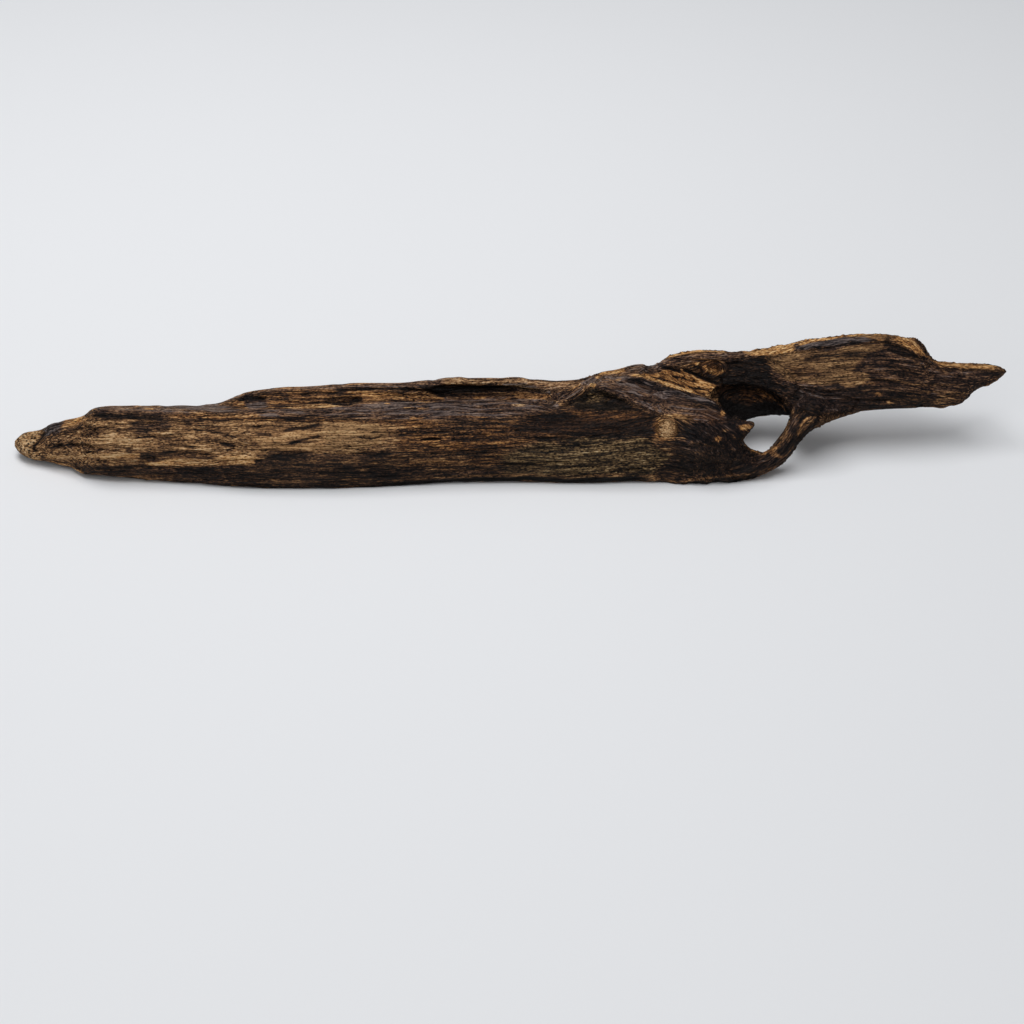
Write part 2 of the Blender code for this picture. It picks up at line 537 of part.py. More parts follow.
def with_fewer_facets(obj, ratio):
    """The same part with fewer triangles, still flat where it rests."""
    fewer = obj.modifiers.new("facets", "DECIMATE")
    fewer.ratio = ratio
    fewer.use_collapse_triangulate = True
    obj = as_mesh(obj, obj.name)
    rest_flat(obj, 0.06)
    return obj


def rest_flat(obj, reach):
    """Presses whatever is lower than reach (mm) flat onto the floor."""
    for vertex in obj.data.vertices:
        if vertex.co.z < reach / 1000.0:
            vertex.co.z = 0.0


def regions():
    """The three blocks of space that the fork's cuts leave, in plan."""
    half = PART_GAP / 2
    left, right = FORK_X - half, FORK_X + half
    front = [(right, FORK_LINE[0][1] - half)] + [(x, y - half) for x, y in FORK_LINE[1:]]
    rear = [(right, FORK_LINE[0][1] + half)] + [(x, y + half) for x, y in FORK_LINE[1:]]
    return {
        "trunk": ((-200, -60), (left, -60), (left, 90), (-200, 90)),
        "lower_limb": ((right, -60), (170, -60), *reversed(front)),
        "upper_limb": (*rear, (170, 90), (right, 90)),
    }


def main():
    for obj in list(bpy.data.objects):
        bpy.data.objects.remove(obj, do_unlink=True)
    body = whole_piece()
    ratio = TRIANGLES / sum(len(p.vertices) - 2 for p in body.data.polygons)
    for name, outline in regions().items():
        part = bpy.data.objects.new(name, body.data.copy())
        bpy.context.scene.collection.objects.link(part)
        part = cut(part, prism(name + "_block", outline, -40, 90), "INTERSECT")
        part = with_fewer_facets(part, ratio)
        part.name = name
        part.data.name = name
        part.data.materials.clear()
        part.data.materials.append(wood(name))
        part.data.shade_smooth()
        part.data.set_sharp_from_angle(angle=radians(50))
    bpy.data.objects.remove(body, do_unlink=True)


main()
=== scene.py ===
"""The finished look of the agarwood piece: weathered, streaky resinous wood.

The wood is laid out in millimetres, as its construction is: X along the piece, +Z
up, the floor at z = 0. Places on its front are given as sight points, (across,
down) in 1/1024 of the view's width, seen from the front, looking 35 degrees down.
"""

from math import cos, pi, radians, sin

import bmesh
import bpy
import numpy as np
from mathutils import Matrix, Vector
from mathutils.bvhtree import BVHTree


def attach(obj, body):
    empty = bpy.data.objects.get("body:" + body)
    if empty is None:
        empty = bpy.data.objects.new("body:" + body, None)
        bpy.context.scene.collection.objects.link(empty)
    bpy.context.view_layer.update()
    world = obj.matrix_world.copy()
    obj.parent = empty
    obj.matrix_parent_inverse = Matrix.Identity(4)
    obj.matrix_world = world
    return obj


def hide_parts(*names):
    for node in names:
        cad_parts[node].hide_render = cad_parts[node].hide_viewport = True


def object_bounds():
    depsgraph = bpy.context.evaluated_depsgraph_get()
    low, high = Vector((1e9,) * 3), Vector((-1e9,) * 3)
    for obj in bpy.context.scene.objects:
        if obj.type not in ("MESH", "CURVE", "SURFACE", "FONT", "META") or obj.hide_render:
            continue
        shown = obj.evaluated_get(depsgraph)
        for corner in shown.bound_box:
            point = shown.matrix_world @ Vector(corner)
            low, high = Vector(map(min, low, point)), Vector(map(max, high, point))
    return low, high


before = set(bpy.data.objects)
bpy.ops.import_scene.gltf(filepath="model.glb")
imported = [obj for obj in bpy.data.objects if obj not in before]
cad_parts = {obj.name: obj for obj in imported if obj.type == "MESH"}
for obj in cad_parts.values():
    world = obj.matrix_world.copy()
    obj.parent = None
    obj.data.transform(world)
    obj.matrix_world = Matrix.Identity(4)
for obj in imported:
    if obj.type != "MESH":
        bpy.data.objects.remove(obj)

CAD_BOX = [list(corner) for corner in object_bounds()]

# ---------------------------------------------------------------- dimensions (mm)
SIGHT_TILT = 35.0
SIGHT_ZOOM = 1024 * 80 / 36.0
SIGHT_AIM_Y = -12.0
SIGHT_RANGE = 667.5
MID = (-0.604, 18.462)

STEP = 0.8               # distance between cross-sections
SPLITS = 5               # points between two rails of a cross-section
STRETCH = 3.4            # facets are this much longer along the grain than across
FIRST_GRAIN = 0.42       # width of the facets when the members are first joined
GRAIN = 0.286            # width of the finished facets

FORK_X = 60.5
FORK_LINE = ((60.0, 18.4), (66.0, 17.4), (74.0, 17.2), (88.0, 16.6), (170.0, 15.0))

# ---------------------------------------------------------------- outline, front view
TRUNK_TOP = (
    (13, 444), (14.6, 440.5), (17, 437.2), (19, 435.4), (22, 433.6), (30, 432), (38, 431.6), (42, 432),
    (44.5, 429.5), (48, 426), (55, 422.3), (66, 418.8), (80, 417), (85.5, 415.6),
    (91, 410.7), (96, 408.3), (105, 407), (126, 406.6), (150, 406), (193, 405.6),
    (214, 405.4), (221, 402.9), (233.5, 397.6), (243.5, 393.2), (258, 390.2),
    (270, 388.5), (290, 387.1), (320, 386.5), (331, 385.6), (343, 384.2), (359, 384),
    (380, 383.5), (413, 382.3), (422, 381.2), (446, 378.7), (460, 377.7), (521, 377.9),
    (539, 379.9), (552, 381.2), (571, 380.9), (582, 379.5), (590.5, 376.4),
    (599, 373), (615, 370.7), (627, 367.5), (638, 363.8), (651, 364.8), (658, 361),
    (666, 356.8), (683, 351.7), (701, 350.3), (726, 350.7), (750, 349.3), (767, 348.2),
    (785, 345), (800, 340.8), (815, 338.6), (830, 337), (846, 334.8), (860, 334),
    (885, 334), (897, 335.8), (905, 338), (913, 340.6), (918, 343.2), (922, 347),
    (925, 352), (930, 357.8), (935, 361), (945, 362.2), (960, 363), (975, 363.4),
    (985, 364), (993, 364.8), (998, 366.6), (1003, 367.9), (1006.4, 369.4), (1008, 370.6),
)
TRUNK_BOTTOM = (
    (13, 444.6), (14.6, 447.3), (17, 450), (19.5, 452), (22, 453.4), (26.4, 456.6), (33, 459),
    (39, 460), (49.4, 463.2), (57.4, 464.8), (69, 466.3), (74.6, 469.2), (80.4, 472),
    (87.3, 475.2), (97.6, 477.4), (115, 478.8), (138, 479.8), (160, 480.6), (179, 481.6),
    (200, 483), (240, 486.4), (270, 488), (300, 488.4), (325, 487.8), (350, 487),
    (380, 486), (405, 484.8), (430, 484), (463, 482.4), (504, 482), (530, 482.2),
    (546, 482.4), (562, 483), (579, 483), (604, 482.4), (639, 481.2), (665, 481.4),
    (690, 478.5), (706, 473), (722, 446), (745, 420), (760, 416.5), (785, 415),
    (810, 415), (835, 414.6), (860, 412.2), (885, 409.8), (897, 409), (902, 407.6),
    (907, 408.6), (920, 407.4), (940, 406.2), (950, 405), (958, 402.6), (963, 400.6),
    (968, 396.5), (972, 392.6), (978, 389.4), (985, 386.6), (995, 381), (1002, 377),
    (1006.4, 374.4), (1008, 373),
)
LIMB_TOP = (
    (650, 440), (652, 424), (655, 411), (660, 402), (675, 397.5), (690, 397.6), (701, 399), (712, 402.8),
    (719, 407), (724, 412.3), (728, 417), (733, 421.5), (738, 429), (742, 438),
    (745, 444.6), (750, 448.6), (757, 451.6), (763, 452.6), (770, 451.6), (778, 450.5),
    (786, 453.3), (788.5, 456.6),
)
LIMB_BOTTOM = (
    (650, 440), (652, 453), (655, 464), (660, 472.5), (666, 477.7), (671, 481.4), (675, 484.2), (681, 485),
    (687, 484.6), (693.5, 484.2), (706, 483.8), (727, 482.8), (750, 479.6), (760, 476.4),
    (767, 473.2), (774, 468.6), (779, 465.4), (785, 461), (787.5, 458.3), (788.5, 457),
)

# ---------------------------------------------------------------- cross-sections
# (across, seen points (down, depth), hidden points (depth, height)); see the rails.
TRUNK = (
    (17, ((449, 16), (447, 15.2), (443.5, 14.9), (440.5, 15.4), (438.6, 16.2),
          (438, 17.2)),
     ((18.2, 6.4), (19, 6.1), (19.6, 5.7), (19.9, 5.3), (20.1, 4.9), (20.1, 4.4),
      (19.9, 3.9), (19.4, 3.4), (18.5, 3), (17.2, 2.8))),
    (22, ((453.5, 15.5), (450, 14), (444, 13.5), (438.5, 14.3), (435.2, 15.7),
          (433.8, 17.3)),
     ((18.8, 7.9), (20.1, 7.3), (21.1, 6.5), (21.7, 5.7), (22.1, 4.9), (22.2, 4.1),
      (21.9, 3.3), (21.1, 2.4), (19.6, 1.5), (17.6, 1.1))),
    (36, ((459, 13.5), (455, 11.9), (446, 11.6), (438, 12.6), (433.5, 14.3),
          (431.7, 16.3)),
     ((18.7, 9.3), (20.5, 8.7), (21.9, 7.9), (22.9, 6.9), (23.5, 5.9), (23.7, 4.9),
      (23.5, 3.9), (22.5, 2.7), (20.5, 1.6), (17, 1.2))),
    (50, ((463, 11.7), (457, 10.1), (446, 9.7), (436, 10.9), (428.5, 12.7), (425, 15)),
     ((17.9, 12.6), (20.1, 11.8), (21.7, 10.6), (22.9, 9.3), (23.7, 7.9), (24, 6.4),
      (23.7, 4.8), (22.7, 3.2), (20.3, 1.7), (15.7, 1))),
    (80, ((472, 7.3), (462, 5.7), (448, 5.3), (434, 6.5), (423, 9.3), (417, 12.7)),
     ((16.1, 16.2), (18.7, 15), (20.9, 13.3), (22.5, 11.4), (23.5, 9.4), (23.9, 7.4),
      (23.5, 5.2), (22.1, 3), (18.5, 1.2), (12.5, 0.7))),
    (100, ((477.3, 4.5), (465, 3), (449.5, 2.6), (431.5, 4.2), (416.5, 7),
           (407.8, 11.2)),
     ((14.6, 20.2), (17.6, 18.3), (20.2, 16), (22.2, 13.6), (23.6, 11.2),
      (24.2, 8.6), (23.8, 6), (22, 3.4), (17.5, 1.3), (10.5, 0.8))),
    (150, ((480.2, 3.7), (467, 2.2), (452, 2), (432.5, 3.8), (417, 7.2),
           (406.2, 11.2)),
     ((14.8, 20.6), (17.8, 18.6), (20.6, 16.4), (22.8, 14), (24.4, 11.4),
      (25.2, 8.8), (24.8, 6), (22.8, 3.2), (18, 0.5), (10.5, -0.1))),
    (205, ((483.3, 2.1), (470, 0.7), (454, 0.9), (434.5, 3.1), (418, 7),
           (406.8, 11.2)),
     ((14.8, 20.7), (17.6, 19), (20.2, 17.8), (22.2, 16.2), (24, 13.8), (25.6, 10.4),
      (25.6, 6.8), (23.4, 3.2), (18.4, -0.2), (10, -0.9))),
    (245, ((486.9, 0.7), (473.5, -0.8), (456, -0.3), (436.3, 2.2), (419.5, 6.7),
           (409.5, 10.8), (405.4, 14.2)),
     ((16.6, 18.6), (18.8, 19.6), (20.2, 20.4), (21.8, 20.4), (26, 14.5),
      (27.2, 8.5), (25, 3.4), (19.5, -0.4), (10, -1))),
    (300, ((488.4, 0.1), (475, -1.2), (457, -0.9), (437.5, 1.9), (420.5, 6.6),
           (410.3, 10.6), (404.3, 14.2)),
     ((17.2, 18.2), (19.6, 20), (21.2, 21.4), (23, 21.4), (27, 16.5), (28.4, 10),
      (26.4, 4.2), (20.5, -0.4), (10, -1))),
    (350, ((486.9, 0.9), (473, -0.6), (456, -0.4), (437, 2.2), (420.3, 6.8),
           (410, 10.7), (402.3, 14.4)),
     ((17.6, 18.2), (20, 20), (21.8, 21.7), (23.6, 21.9), (27.6, 17), (28.9, 10.4),
      (26.8, 4.4), (21, -0.4), (10.6, -1))),
    (400, ((485, 2), (469.5, 0.8), (453, 0.8), (435.5, 3), (420, 7.2), (409.5, 11),
           (401, 14.8)),
     ((18, 18.4), (20.8, 19.6), (22.2, 21.4), (24.2, 22.1), (28.2, 17.2),
      (29.4, 10.6), (27.4, 4.6), (21.5, -0.3), (11.5, -0.9))),
    (430, ((484, 2.6), (467.5, 1.5), (450.5, 1.5), (434.3, 3.6), (419.5, 7.6),
           (409.2, 11.4), (400.3, 15.1)),
     ((19, 17), (23, 18.6), (22.8, 21.4), (24.8, 22.5), (28.8, 17.6), (29.9, 10.8),
      (27.8, 4.9), (22, -0.3), (12, -0.6))),
    (480, ((482.3, 3.2), (464.5, 2.1), (448.5, 2.1), (433, 4.1), (419.2, 8),
           (409, 11.8), (399.5, 15.4)),
     ((19.5, 16), (24, 17.8), (23.6, 21.8), (25.8, 23.2), (29.4, 18), (30.4, 11),
      (28.2, 5), (22.5, -0.3), (12.5, 0.3))),
    (530, ((482.2, 3.2), (463.8, 2.1), (447.5, 2.2), (433, 4.4), (418.6, 8.5),
           (409, 12), (400, 15.4)),
     ((19.5, 17.2), (23.6, 18.8), (23.6, 21.6), (25.8, 22.8), (29.6, 18),
      (30.6, 11.4), (28.4, 5), (23, -0.4), (13, 0.9))),
    (570, ((483, 2.9), (466, 1.6), (447.5, 2.1), (433, 4.4), (418.4, 8.7),
           (409.3, 11.7), (404, 14)),
     ((17, 20.8), (19.6, 21.8), (22, 22.4), (24.6, 22.6), (29.4, 18.5), (30.8, 12),
      (28.8, 5), (23.6, -0.6), (13.4, 0.8))),
    (600, ((482.4, 3), (464.5, 1.8), (447.5, 2.2), (433, 4.4), (418, 8.8),
           (410.3, 10.9), (406, 13)),
     ((14.2, 20.3), (16.8, 24), (20.5, 24.8), (24.8, 25), (29.6, 20), (31.2, 13),
      (29.2, 5.6), (24.4, -0.7), (14, 1.1))),
    (622, ((481.8, 3.3), (464, 1.8), (446.5, 2.2), (432.5, 4.4), (418.4, 8.6),
           (410.3, 10.6), (406.8, 12)),
     ((13.4, 20.7), (15.8, 23), (20.5, 25.1), (26, 25.8), (30.4, 21), (32.2, 14),
      (30, 6.4), (25.2, -0.5), (14.4, 1.3))),
    (640, ((481.2, 3.4), (463, 2), (446, 2.4), (432, 4.6), (418.4, 8.4),
           (405.5, 12.6), (394, 16.2), (385, 19.4), (377, 22.2), (370, 24.6),
           (364.2, 27)),
     ((31.6, 22), (33.4, 15), (31.4, 7.2), (26.4, 0.6), (15, 1.5))),
    (660, ((481.4, 3.6), (463, 2.2), (445.5, 2.6), (431.5, 4.8), (417, 8.6),
           (404.5, 12.4), (385.4, 19.6), (381.4, 22), (372, 25.5), (364.4, 28),
           (359.6, 30)),
     ((33.4, 23.4), (35, 16), (33, 8.4), (27.4, 2.4), (15.6, 1.9))),
    (690, ((478.5, 4.2), (464, 3), (446, 3.2), (431, 5.4), (417, 8.8), (407, 12.2),
           (397, 17.6), (392, 20.6), (380, 25.5), (364, 29), (351.5, 31)),
     ((35, 25.5), (37, 18), (35, 10.2), (29, 5), (17, 3))),
    (706, ((473, 7.5), (460, 6), (444, 6.4), (430, 8.2), (417, 11), (408, 14),
           (400.5, 17.6), (396, 20.5), (383, 25.8), (364, 29.6), (350.6, 31.4)),
     ((35.8, 25.6), (37.8, 18.4), (35.8, 11.2), (30.5, 6.8), (19.5, 5))),
    (722, ((446, 16.5), (436, 16.7), (426, 17.5), (417, 18.9), (408, 20.5),
           (400, 22.3), (392, 23.9), (384, 25.7), (373, 27.8), (360, 29.9),
           (350.8, 31.5)),
     ((36.3, 26.3), (38.3, 19.3), (36.5, 12.7), (32, 8.7), (23.5, 7.7))),
    (745, ((419.5, 21.9), (411, 21.7), (401, 22.7), (391, 24.1), (381, 25.6),
           (372, 27.1), (364, 28.4), (357.5, 29.5), (353, 30.3), (350.2, 31),
           (349.6, 31.9)),
     ((35.9, 27.7), (37.9, 21.2), (36.3, 14.7), (32.3, 10.8), (26.3, 9.6))),
    (785, ((414.8, 21.2), (407, 20.5), (397, 21.3), (386, 22.7), (375, 24.3),
           (365, 25.9), (357, 27.1), (351, 28.1), (347.5, 28.9), (345.4, 29.7),
           (344.9, 30.9)),
     ((34.2, 31), (36.2, 25), (34.2, 18), (29.2, 13), (24.7, 11.8))),
    (830, ((415, 19.5), (406.5, 18.7), (395.5, 19.4), (383.5, 20.9), (371.5, 22.5),
           (361, 24.2), (352, 25.6), (345, 26.7), (340.3, 27.7), (337.8, 28.6),
           (337.2, 29.8)),
     ((33.2, 33.7), (35.2, 27.2), (33.2, 20), (28.2, 15), (23.6, 13.6))),
    (870, ((411.3, 20.3), (403, 19.2), (392, 19.8), (380, 21.2), (368, 22.8),
           (357, 24.4), (348, 25.8), (341, 27), (336.6, 28), (334.4, 29),
           (333.9, 30.2)),
     ((33.5, 34.2), (35.5, 27.7), (33.5, 20.2), (28.5, 15.2), (24, 13.8))),
    (915, ((407.7, 21.8), (400, 20.6), (390, 21), (379, 22.2), (368.5, 23.6),
           (359, 25), (351.5, 26.2), (346.5, 27.2), (343.5, 28.2), (342.3, 29),
           (341.9, 30)),
     ((33, 31.2), (34.5, 26.2), (33, 20.7), (29, 16.2), (25, 14.7))),
    (940, ((406.2, 23), (400.5, 22), (393, 22.2), (385, 23), (378, 24), (372, 25.2),
           (367.5, 26.2), (364.5, 27.2), (362.8, 28), (362.1, 28.8), (361.9, 29.6)),
     ((32, 25.2), (33, 22.2), (32, 18.7), (29, 16.2), (26, 15.2))),
    (970, ((394.6, 25.2), (391.5, 24.6), (387, 24.6), (382, 25.2), (377, 26),
           (372.5, 26.8), (368.5, 27.6), (365.7, 28.2), (364.2, 28.8), (363.5, 29.2),
           (363.4, 29.8)),
     ((31.5, 25), (32.2, 22.7), (31.5, 20.7), (29.5, 18.7), (27, 18))),
    (990, ((384, 26.8), (381, 26.4), (378, 26.4), (375, 26.8), (372, 27.2),
           (369.5, 27.6), (367.2, 28), (365.8, 28.4), (365, 28.8), (364.7, 29.2),
           (364.6, 29.5)),
     ((30.6, 24.5), (31, 23.2), (30.6, 21.8), (29.4, 20.8), (28, 20.4))),
)
TRUNK_TIPS = ((13.0, 444.3, 17.4, 0.5), (1008, 371.8, 28.4, 1))
LIMB = (
    (660, ((473, 6.2), (463, 5.2), (450, 5.2), (436, 6.8), (420, 9.8), (406, 13),
           (400, 16)),
     ((17, 16.5), (16.5, 11), (14.5, 5), (11, 2.2))),
    (680, ((484.8, 2.4), (470, 2.4), (453, 2.6), (437, 4.4), (421, 8), (407, 12.4),
           (397.6, 16)),
     ((17.8, 17.5), (17.5, 11), (14.5, 3.4), (10, -0.8))),
    (700, ((484, 2.7), (469, 1.4), (453, 1.3), (437, 3.2), (421, 6.8), (408, 11),
           (399, 15)),
     ((18, 18), (18.5, 12), (16, 5), (11, 0.8))),
    (718, ((483.2, 3.1), (468, 1.8), (455, 1.6), (440, 3.2), (426, 6.4), (414, 9.8),
           (406.5, 13.2)),
     ((16.5, 16.5), (17, 11), (15.2, 5), (11, 1.6))),
    (732, ((482.3, 3.5), (468.5, 2.3), (458, 2.1), (446, 3.6), (435, 6), (426, 8.8),
           (420.5, 11.2)),
     ((14.2, 14.5), (15.2, 10), (14.2, 5), (10.5, 2))),
    (740, ((481.4, 3.9), (469.5, 2.9), (461, 2.7), (452, 4), (443, 6), (437, 8.2),
           (433, 10)),
     ((12.8, 11), (14, 8), (13, 4.6), (10, 2.2))),
    (747, ((480, 4.4), (470.5, 3.4), (464.5, 3.2), (458, 4.2), (451.8, 5.8),
           (448, 7.6), (446.2, 9.2)),
     ((12, 8.4), (13, 6.5), (12.2, 4.2), (9.6, 2.4))),
    (765, ((474, 5.2), (469, 4.4), (465, 4.2), (460.5, 4.8), (456.5, 6),
           (453.8, 7.6), (452.8, 9)),
     ((11.5, 6.8), (12.5, 5.2), (11.5, 3.4), (9, 2.2))),
    (778, ((466.2, 6.2), (463.5, 5.4), (460.5, 5.2), (456.8, 5.8), (453.6, 6.8),
           (451.5, 8), (450.5, 9)),
     ((10.8, 6.6), (11.8, 5.6), (11, 4.2), (9, 3.4))),
    (786, ((460, 7.2), (458.8, 6.9), (457.2, 6.8), (455.6, 7.1), (454.4, 7.6),
           (453.6, 8.2), (453.3, 8.8)),
     ((9.6, 5.6), (10, 5.2), (9.7, 4.7), (8.8, 4.4))),
)
LIMB_TIPS = ((650, 440, 10.0, 0.5), (788.6, 456.8, 8.3, 0.5))
# Round members: (across, down, depth, radius) along the middle.
STRUT = (
    (764, 463.5, 8, 2.6), (773, 459, 8.4, 2.9), (780, 452.5, 9.2, 3),
    (785.5, 445.5, 10.3, 3), (791, 438, 11.4, 2.9), (796, 430.5, 12.6, 3.2),
    (800.5, 423.5, 14.3, 3.9), (807, 415, 16.7, 4.9), (817, 407, 20.2, 5.6),
)
FLARE = (
    (808, 414, 17, 3.6), (820, 411.5, 18.6, 3.7), (834, 409.5, 20.2, 3.2),
    (850, 407, 21.6, 2.4), (864, 404.5, 22.8, 1.4),
)
SPUR = (
    (722, 431, 8.4, 4.0), (730, 430.5, 8.2, 3.9), (738, 429.5, 8.0, 3.35),
    (744, 427.4, 7.8, 2.5), (749, 425.6, 7.6, 1.7), (753, 423.6, 7.4, 1.0),
    (756.6, 421.6, 7.2, 0.4),
)
HOLLOW = (
    (712, 396, 21.4, 1.6), (718, 397, 22.3, 3.3), (727, 398, 22.9, 4.5),
    (742, 400, 23.1, 5), (758, 402, 22.7, 4.7), (772, 404.5, 22, 3.8),
    (783, 407, 21, 2.4),
)

# ---------------------------------------------------------------- lines of sight
COS, SIN = cos(radians(SIGHT_TILT)), sin(radians(SIGHT_TILT))
EYE_Y = SIGHT_AIM_Y - SIGHT_RANGE * COS
EYE_Z = SIGHT_RANGE * SIN


def on_sight(across, down, depth):
    """The point at this depth that is seen at (across, down)."""
    side = (across - 512.0) / SIGHT_ZOOM
    drop = (down - 512.0) / SIGHT_ZOOM
    go_y = COS - drop * SIN
    go_z = -SIN - drop * COS
    run = (depth - EYE_Y) / go_y
    return side * run, depth, EYE_Z + run * go_z


def off_sight(across, depth, height):
    """The point of this depth and height that lies at (across)."""
    run = (depth - EYE_Y) * COS - (height - EYE_Z) * SIN
    return (across - 512.0) / SIGHT_ZOOM * run, depth, height


def seen_at(x, y, z):
    """(across, down) of points, the other way round."""
    run = (y - EYE_Y) * COS - (z - EYE_Z) * SIN
    rise = (y - EYE_Y) * SIN + (z - EYE_Z) * COS
    return 512.0 + SIGHT_ZOOM * x / run, 512.0 - SIGHT_ZOOM * rise / run


class Line:
    """A smooth line through knots that never overshoots them (monotone cubic)."""

    def __init__(self, knots):
        knots = np.array(sorted(map(tuple, knots)), float)
        self.x, self.v = knots[:, 0], knots[:, 1:]
        step = np.diff(self.x)[:, None]
        rate = np.diff(self.v, axis=0) / step
        self.m = np.zeros_like(self.v)
        self.m[0], self.m[-1] = rate[0], rate[-1]
        a, b = rate[:-1], rate[1:]
        w1 = 2 * step[1:] + step[:-1]
        w2 = step[1:] + 2 * step[:-1]
        same = a * b > 0
        safe_a, safe_b = np.where(same, a, 1.0), np.where(same, b, 1.0)
        self.m[1:-1] = np.where(same, (w1 + w2) / (w1 / safe_a + w2 / safe_b), 0.0)

    def __call__(self, x):
        x = np.clip(np.atleast_1d(np.asarray(x, float)), self.x[0], self.x[-1])
        i = np.clip(np.searchsorted(self.x, x) - 1, 0, len(self.x) - 2)
        h = (self.x[i + 1] - self.x[i])[:, None]
        t = (x - self.x[i])[:, None] / h
        t2, t3 = t * t, t * t * t
        return (
            (2 * t3 - 3 * t2 + 1) * self.v[i]
            + (t3 - 2 * t2 + t) * h * self.m[i]
            + (3 * t2 - 2 * t3) * self.v[i + 1]
            + (t3 - t2) * h * self.m[i + 1]
        )


# ---------------------------------------------------------------- the grown body
def smooth_ring(points, splits):
    """A closed smooth curve through the points, with extra ones between them."""
    p0, p1 = np.roll(points, 1, 0), points
    p2, p3 = np.roll(points, -1, 0), np.roll(points, -2, 0)
    ring = []
    for k in range(splits):
        t = k / splits
        d1 = np.sqrt(np.linalg.norm(p1 - p0, axis=1) + 1e-9)[:, None]
        d2 = np.sqrt(np.linalg.norm(p2 - p1, axis=1) + 1e-9)[:, None]
        d3 = np.sqrt(np.linalg.norm(p3 - p2, axis=1) + 1e-9)[:, None]
        m1 = d2 * ((p1 - p0) / d1 - (p2 - p0) / (d1 + d2) + (p2 - p1) / d2)
        m2 = d2 * ((p2 - p1) / d2 - (p3 - p1) / (d2 + d3) + (p3 - p2) / d3)
        ring.append(
            (2 * t**3 - 3 * t**2 + 1) * p1
            + (t**3 - 2 * t**2 + t) * m1
            + (3 * t**2 - 2 * t**3) * p2
            + (t**3 - t**2) * m2
        )
    return np.stack(ring, 1).reshape(-1, 2)


def rails_of(stations, tips):
    """The rails through the stations, as lines of (depth, height) along X."""
    count = len(stations[0][1]) + len(stations[0][2])
    knots = [[] for _ in range(count)]
    for across, seen, hidden in stations:
        spots = [on_sight(across, down, depth) for down, depth in seen]
        spots += [off_sight(across, depth, height) for depth, height in hidden]
        for rail, spot in zip(knots, spots):
            rail.append(spot)
    for across, down, depth, radius in tips:
        x, y, z = on_sight(across, down, depth)
        for k, rail in enumerate(knots):
            turn = 2 * pi * (k / count) + 3.9
            rail.append((x, y - radius * cos(turn), z + radius * sin(turn)))
    return [Line(rail) for rail in knots]


def fit_outline(x, ring, top, bottom):
    """Moves a cross-section up or back until its outline is the one seen."""
    y, z = ring[:, 0].copy(), ring[:, 1].copy()
    for _ in range(3):
        across, down = seen_at(x, y, z)
        i, j = int(np.argmin(down)), int(np.argmax(down))
        lift = (down[i] - top(across[i])[0, 0]) / (SIGHT_ZOOM * COS / 690.0)
        share = np.clip((z - z.min()) / max(z[i] - z.min(), 0.5), 0, 1)
        z = z + lift * share * share * (3 - 2 * share)
        across, down = seen_at(x, y, z)
        back = (down[j] - bottom(across[j])[0, 0]) / (SIGHT_ZOOM * SIN / 690.0)
        share = np.clip(1 - (down[j] - down) / 30.0, 0, 1) * np.clip(
            1 - (y - y[j]) / 9.0, 0, 1
        )
        y = y + back * share
    return np.stack([y, z], 1)


def finish(name, bm):
    mesh = bpy.data.meshes.new(name)
    bm.to_mesh(mesh)
    bm.free()
    obj = bpy.data.objects.new(name, mesh)
    bpy.context.scene.collection.objects.link(obj)
    return obj


def loft(name, stations, tips, top, bottom):
    """A closed skin over the cross-sections, in millimetres."""
    rails = rails_of(stations, tips)
    top, bottom = Line(top), Line(bottom)
    first = max(rail.x[0] for rail in rails)
    last = min(rail.x[-1] for rail in rails)
    places = np.linspace(first, last, int((last - first) / STEP) + 1)
    dense = np.array([0.12, 0.25, 0.45, 0.7, 1.0, 1.4, 2.2])
    places = np.unique(np.concatenate([places, first + dense, last - dense]))
    spots = np.stack([rail(places) for rail in rails], 1)
    bm = bmesh.new()
    rings = []
    for x, points in zip(places, spots):
        ring = smooth_ring(points, SPLITS)
        if first + 0.4 < x < last - 0.4:
            ring = fit_outline(x, ring, top, bottom)
        rings.append([bm.verts.new((x, y, z)) for y, z in ring])
    size = len(rings[0])
    for one, two in zip(rings, rings[1:]):
        for k in range(size):
            n = (k + 1) % size
            bm.faces.new((one[k], one[n], two[n], two[k]))
    bm.faces.new(tuple(reversed(rings[0])))
    bm.faces.new(tuple(rings[-1]))
    bmesh.ops.recalc_face_normals(bm, faces=bm.faces)
    return finish(name, bm)


def as_mesh(obj, name):
    """A new object that holds what obj looks like with its modifiers done."""
    graph = bpy.context.evaluated_depsgraph_get()
    graph.update()
    mesh = bpy.data.meshes.new_from_object(obj.evaluated_get(graph))
    mesh.transform(obj.matrix_world)
    bpy.data.objects.remove(obj, do_unlink=True)
    made = bpy.data.objects.new(name, mesh)
    bpy.context.scene.collection.objects.link(made)
    return made


def middle_line(knots, points):
    """Points and radii along the middle of a round member."""
    spots = np.array([(*on_sight(a, d, y), r) for a, d, y, r in knots])
    walk = np.linalg.norm(np.diff(spots[:, :3], axis=0), axis=1)
    walk = np.concatenate([[0], np.cumsum(walk)])
    return Line(np.column_stack([walk, spots]))(np.linspace(0, walk[-1], points))


def round_member(name, knots, points=60):
    """A round member of changing thickness along a smooth middle line."""
    curve = bpy.data.curves.new(name, "CURVE")
    curve.dimensions = "3D"
    curve.bevel_depth = 1.0
    curve.bevel_resolution = 8
    curve.use_fill_caps = True
    spline = curve.splines.new("POLY")
    spline.points.add(points - 1)
    for point, (x, y, z, r) in zip(spline.points, middle_line(knots, points)):
        point.co = (x, y, z, 1.0)
        point.radius = r
    obj = bpy.data.objects.new(name, curve)
    bpy.context.scene.collection.objects.link(obj)
    return as_mesh(obj, name)


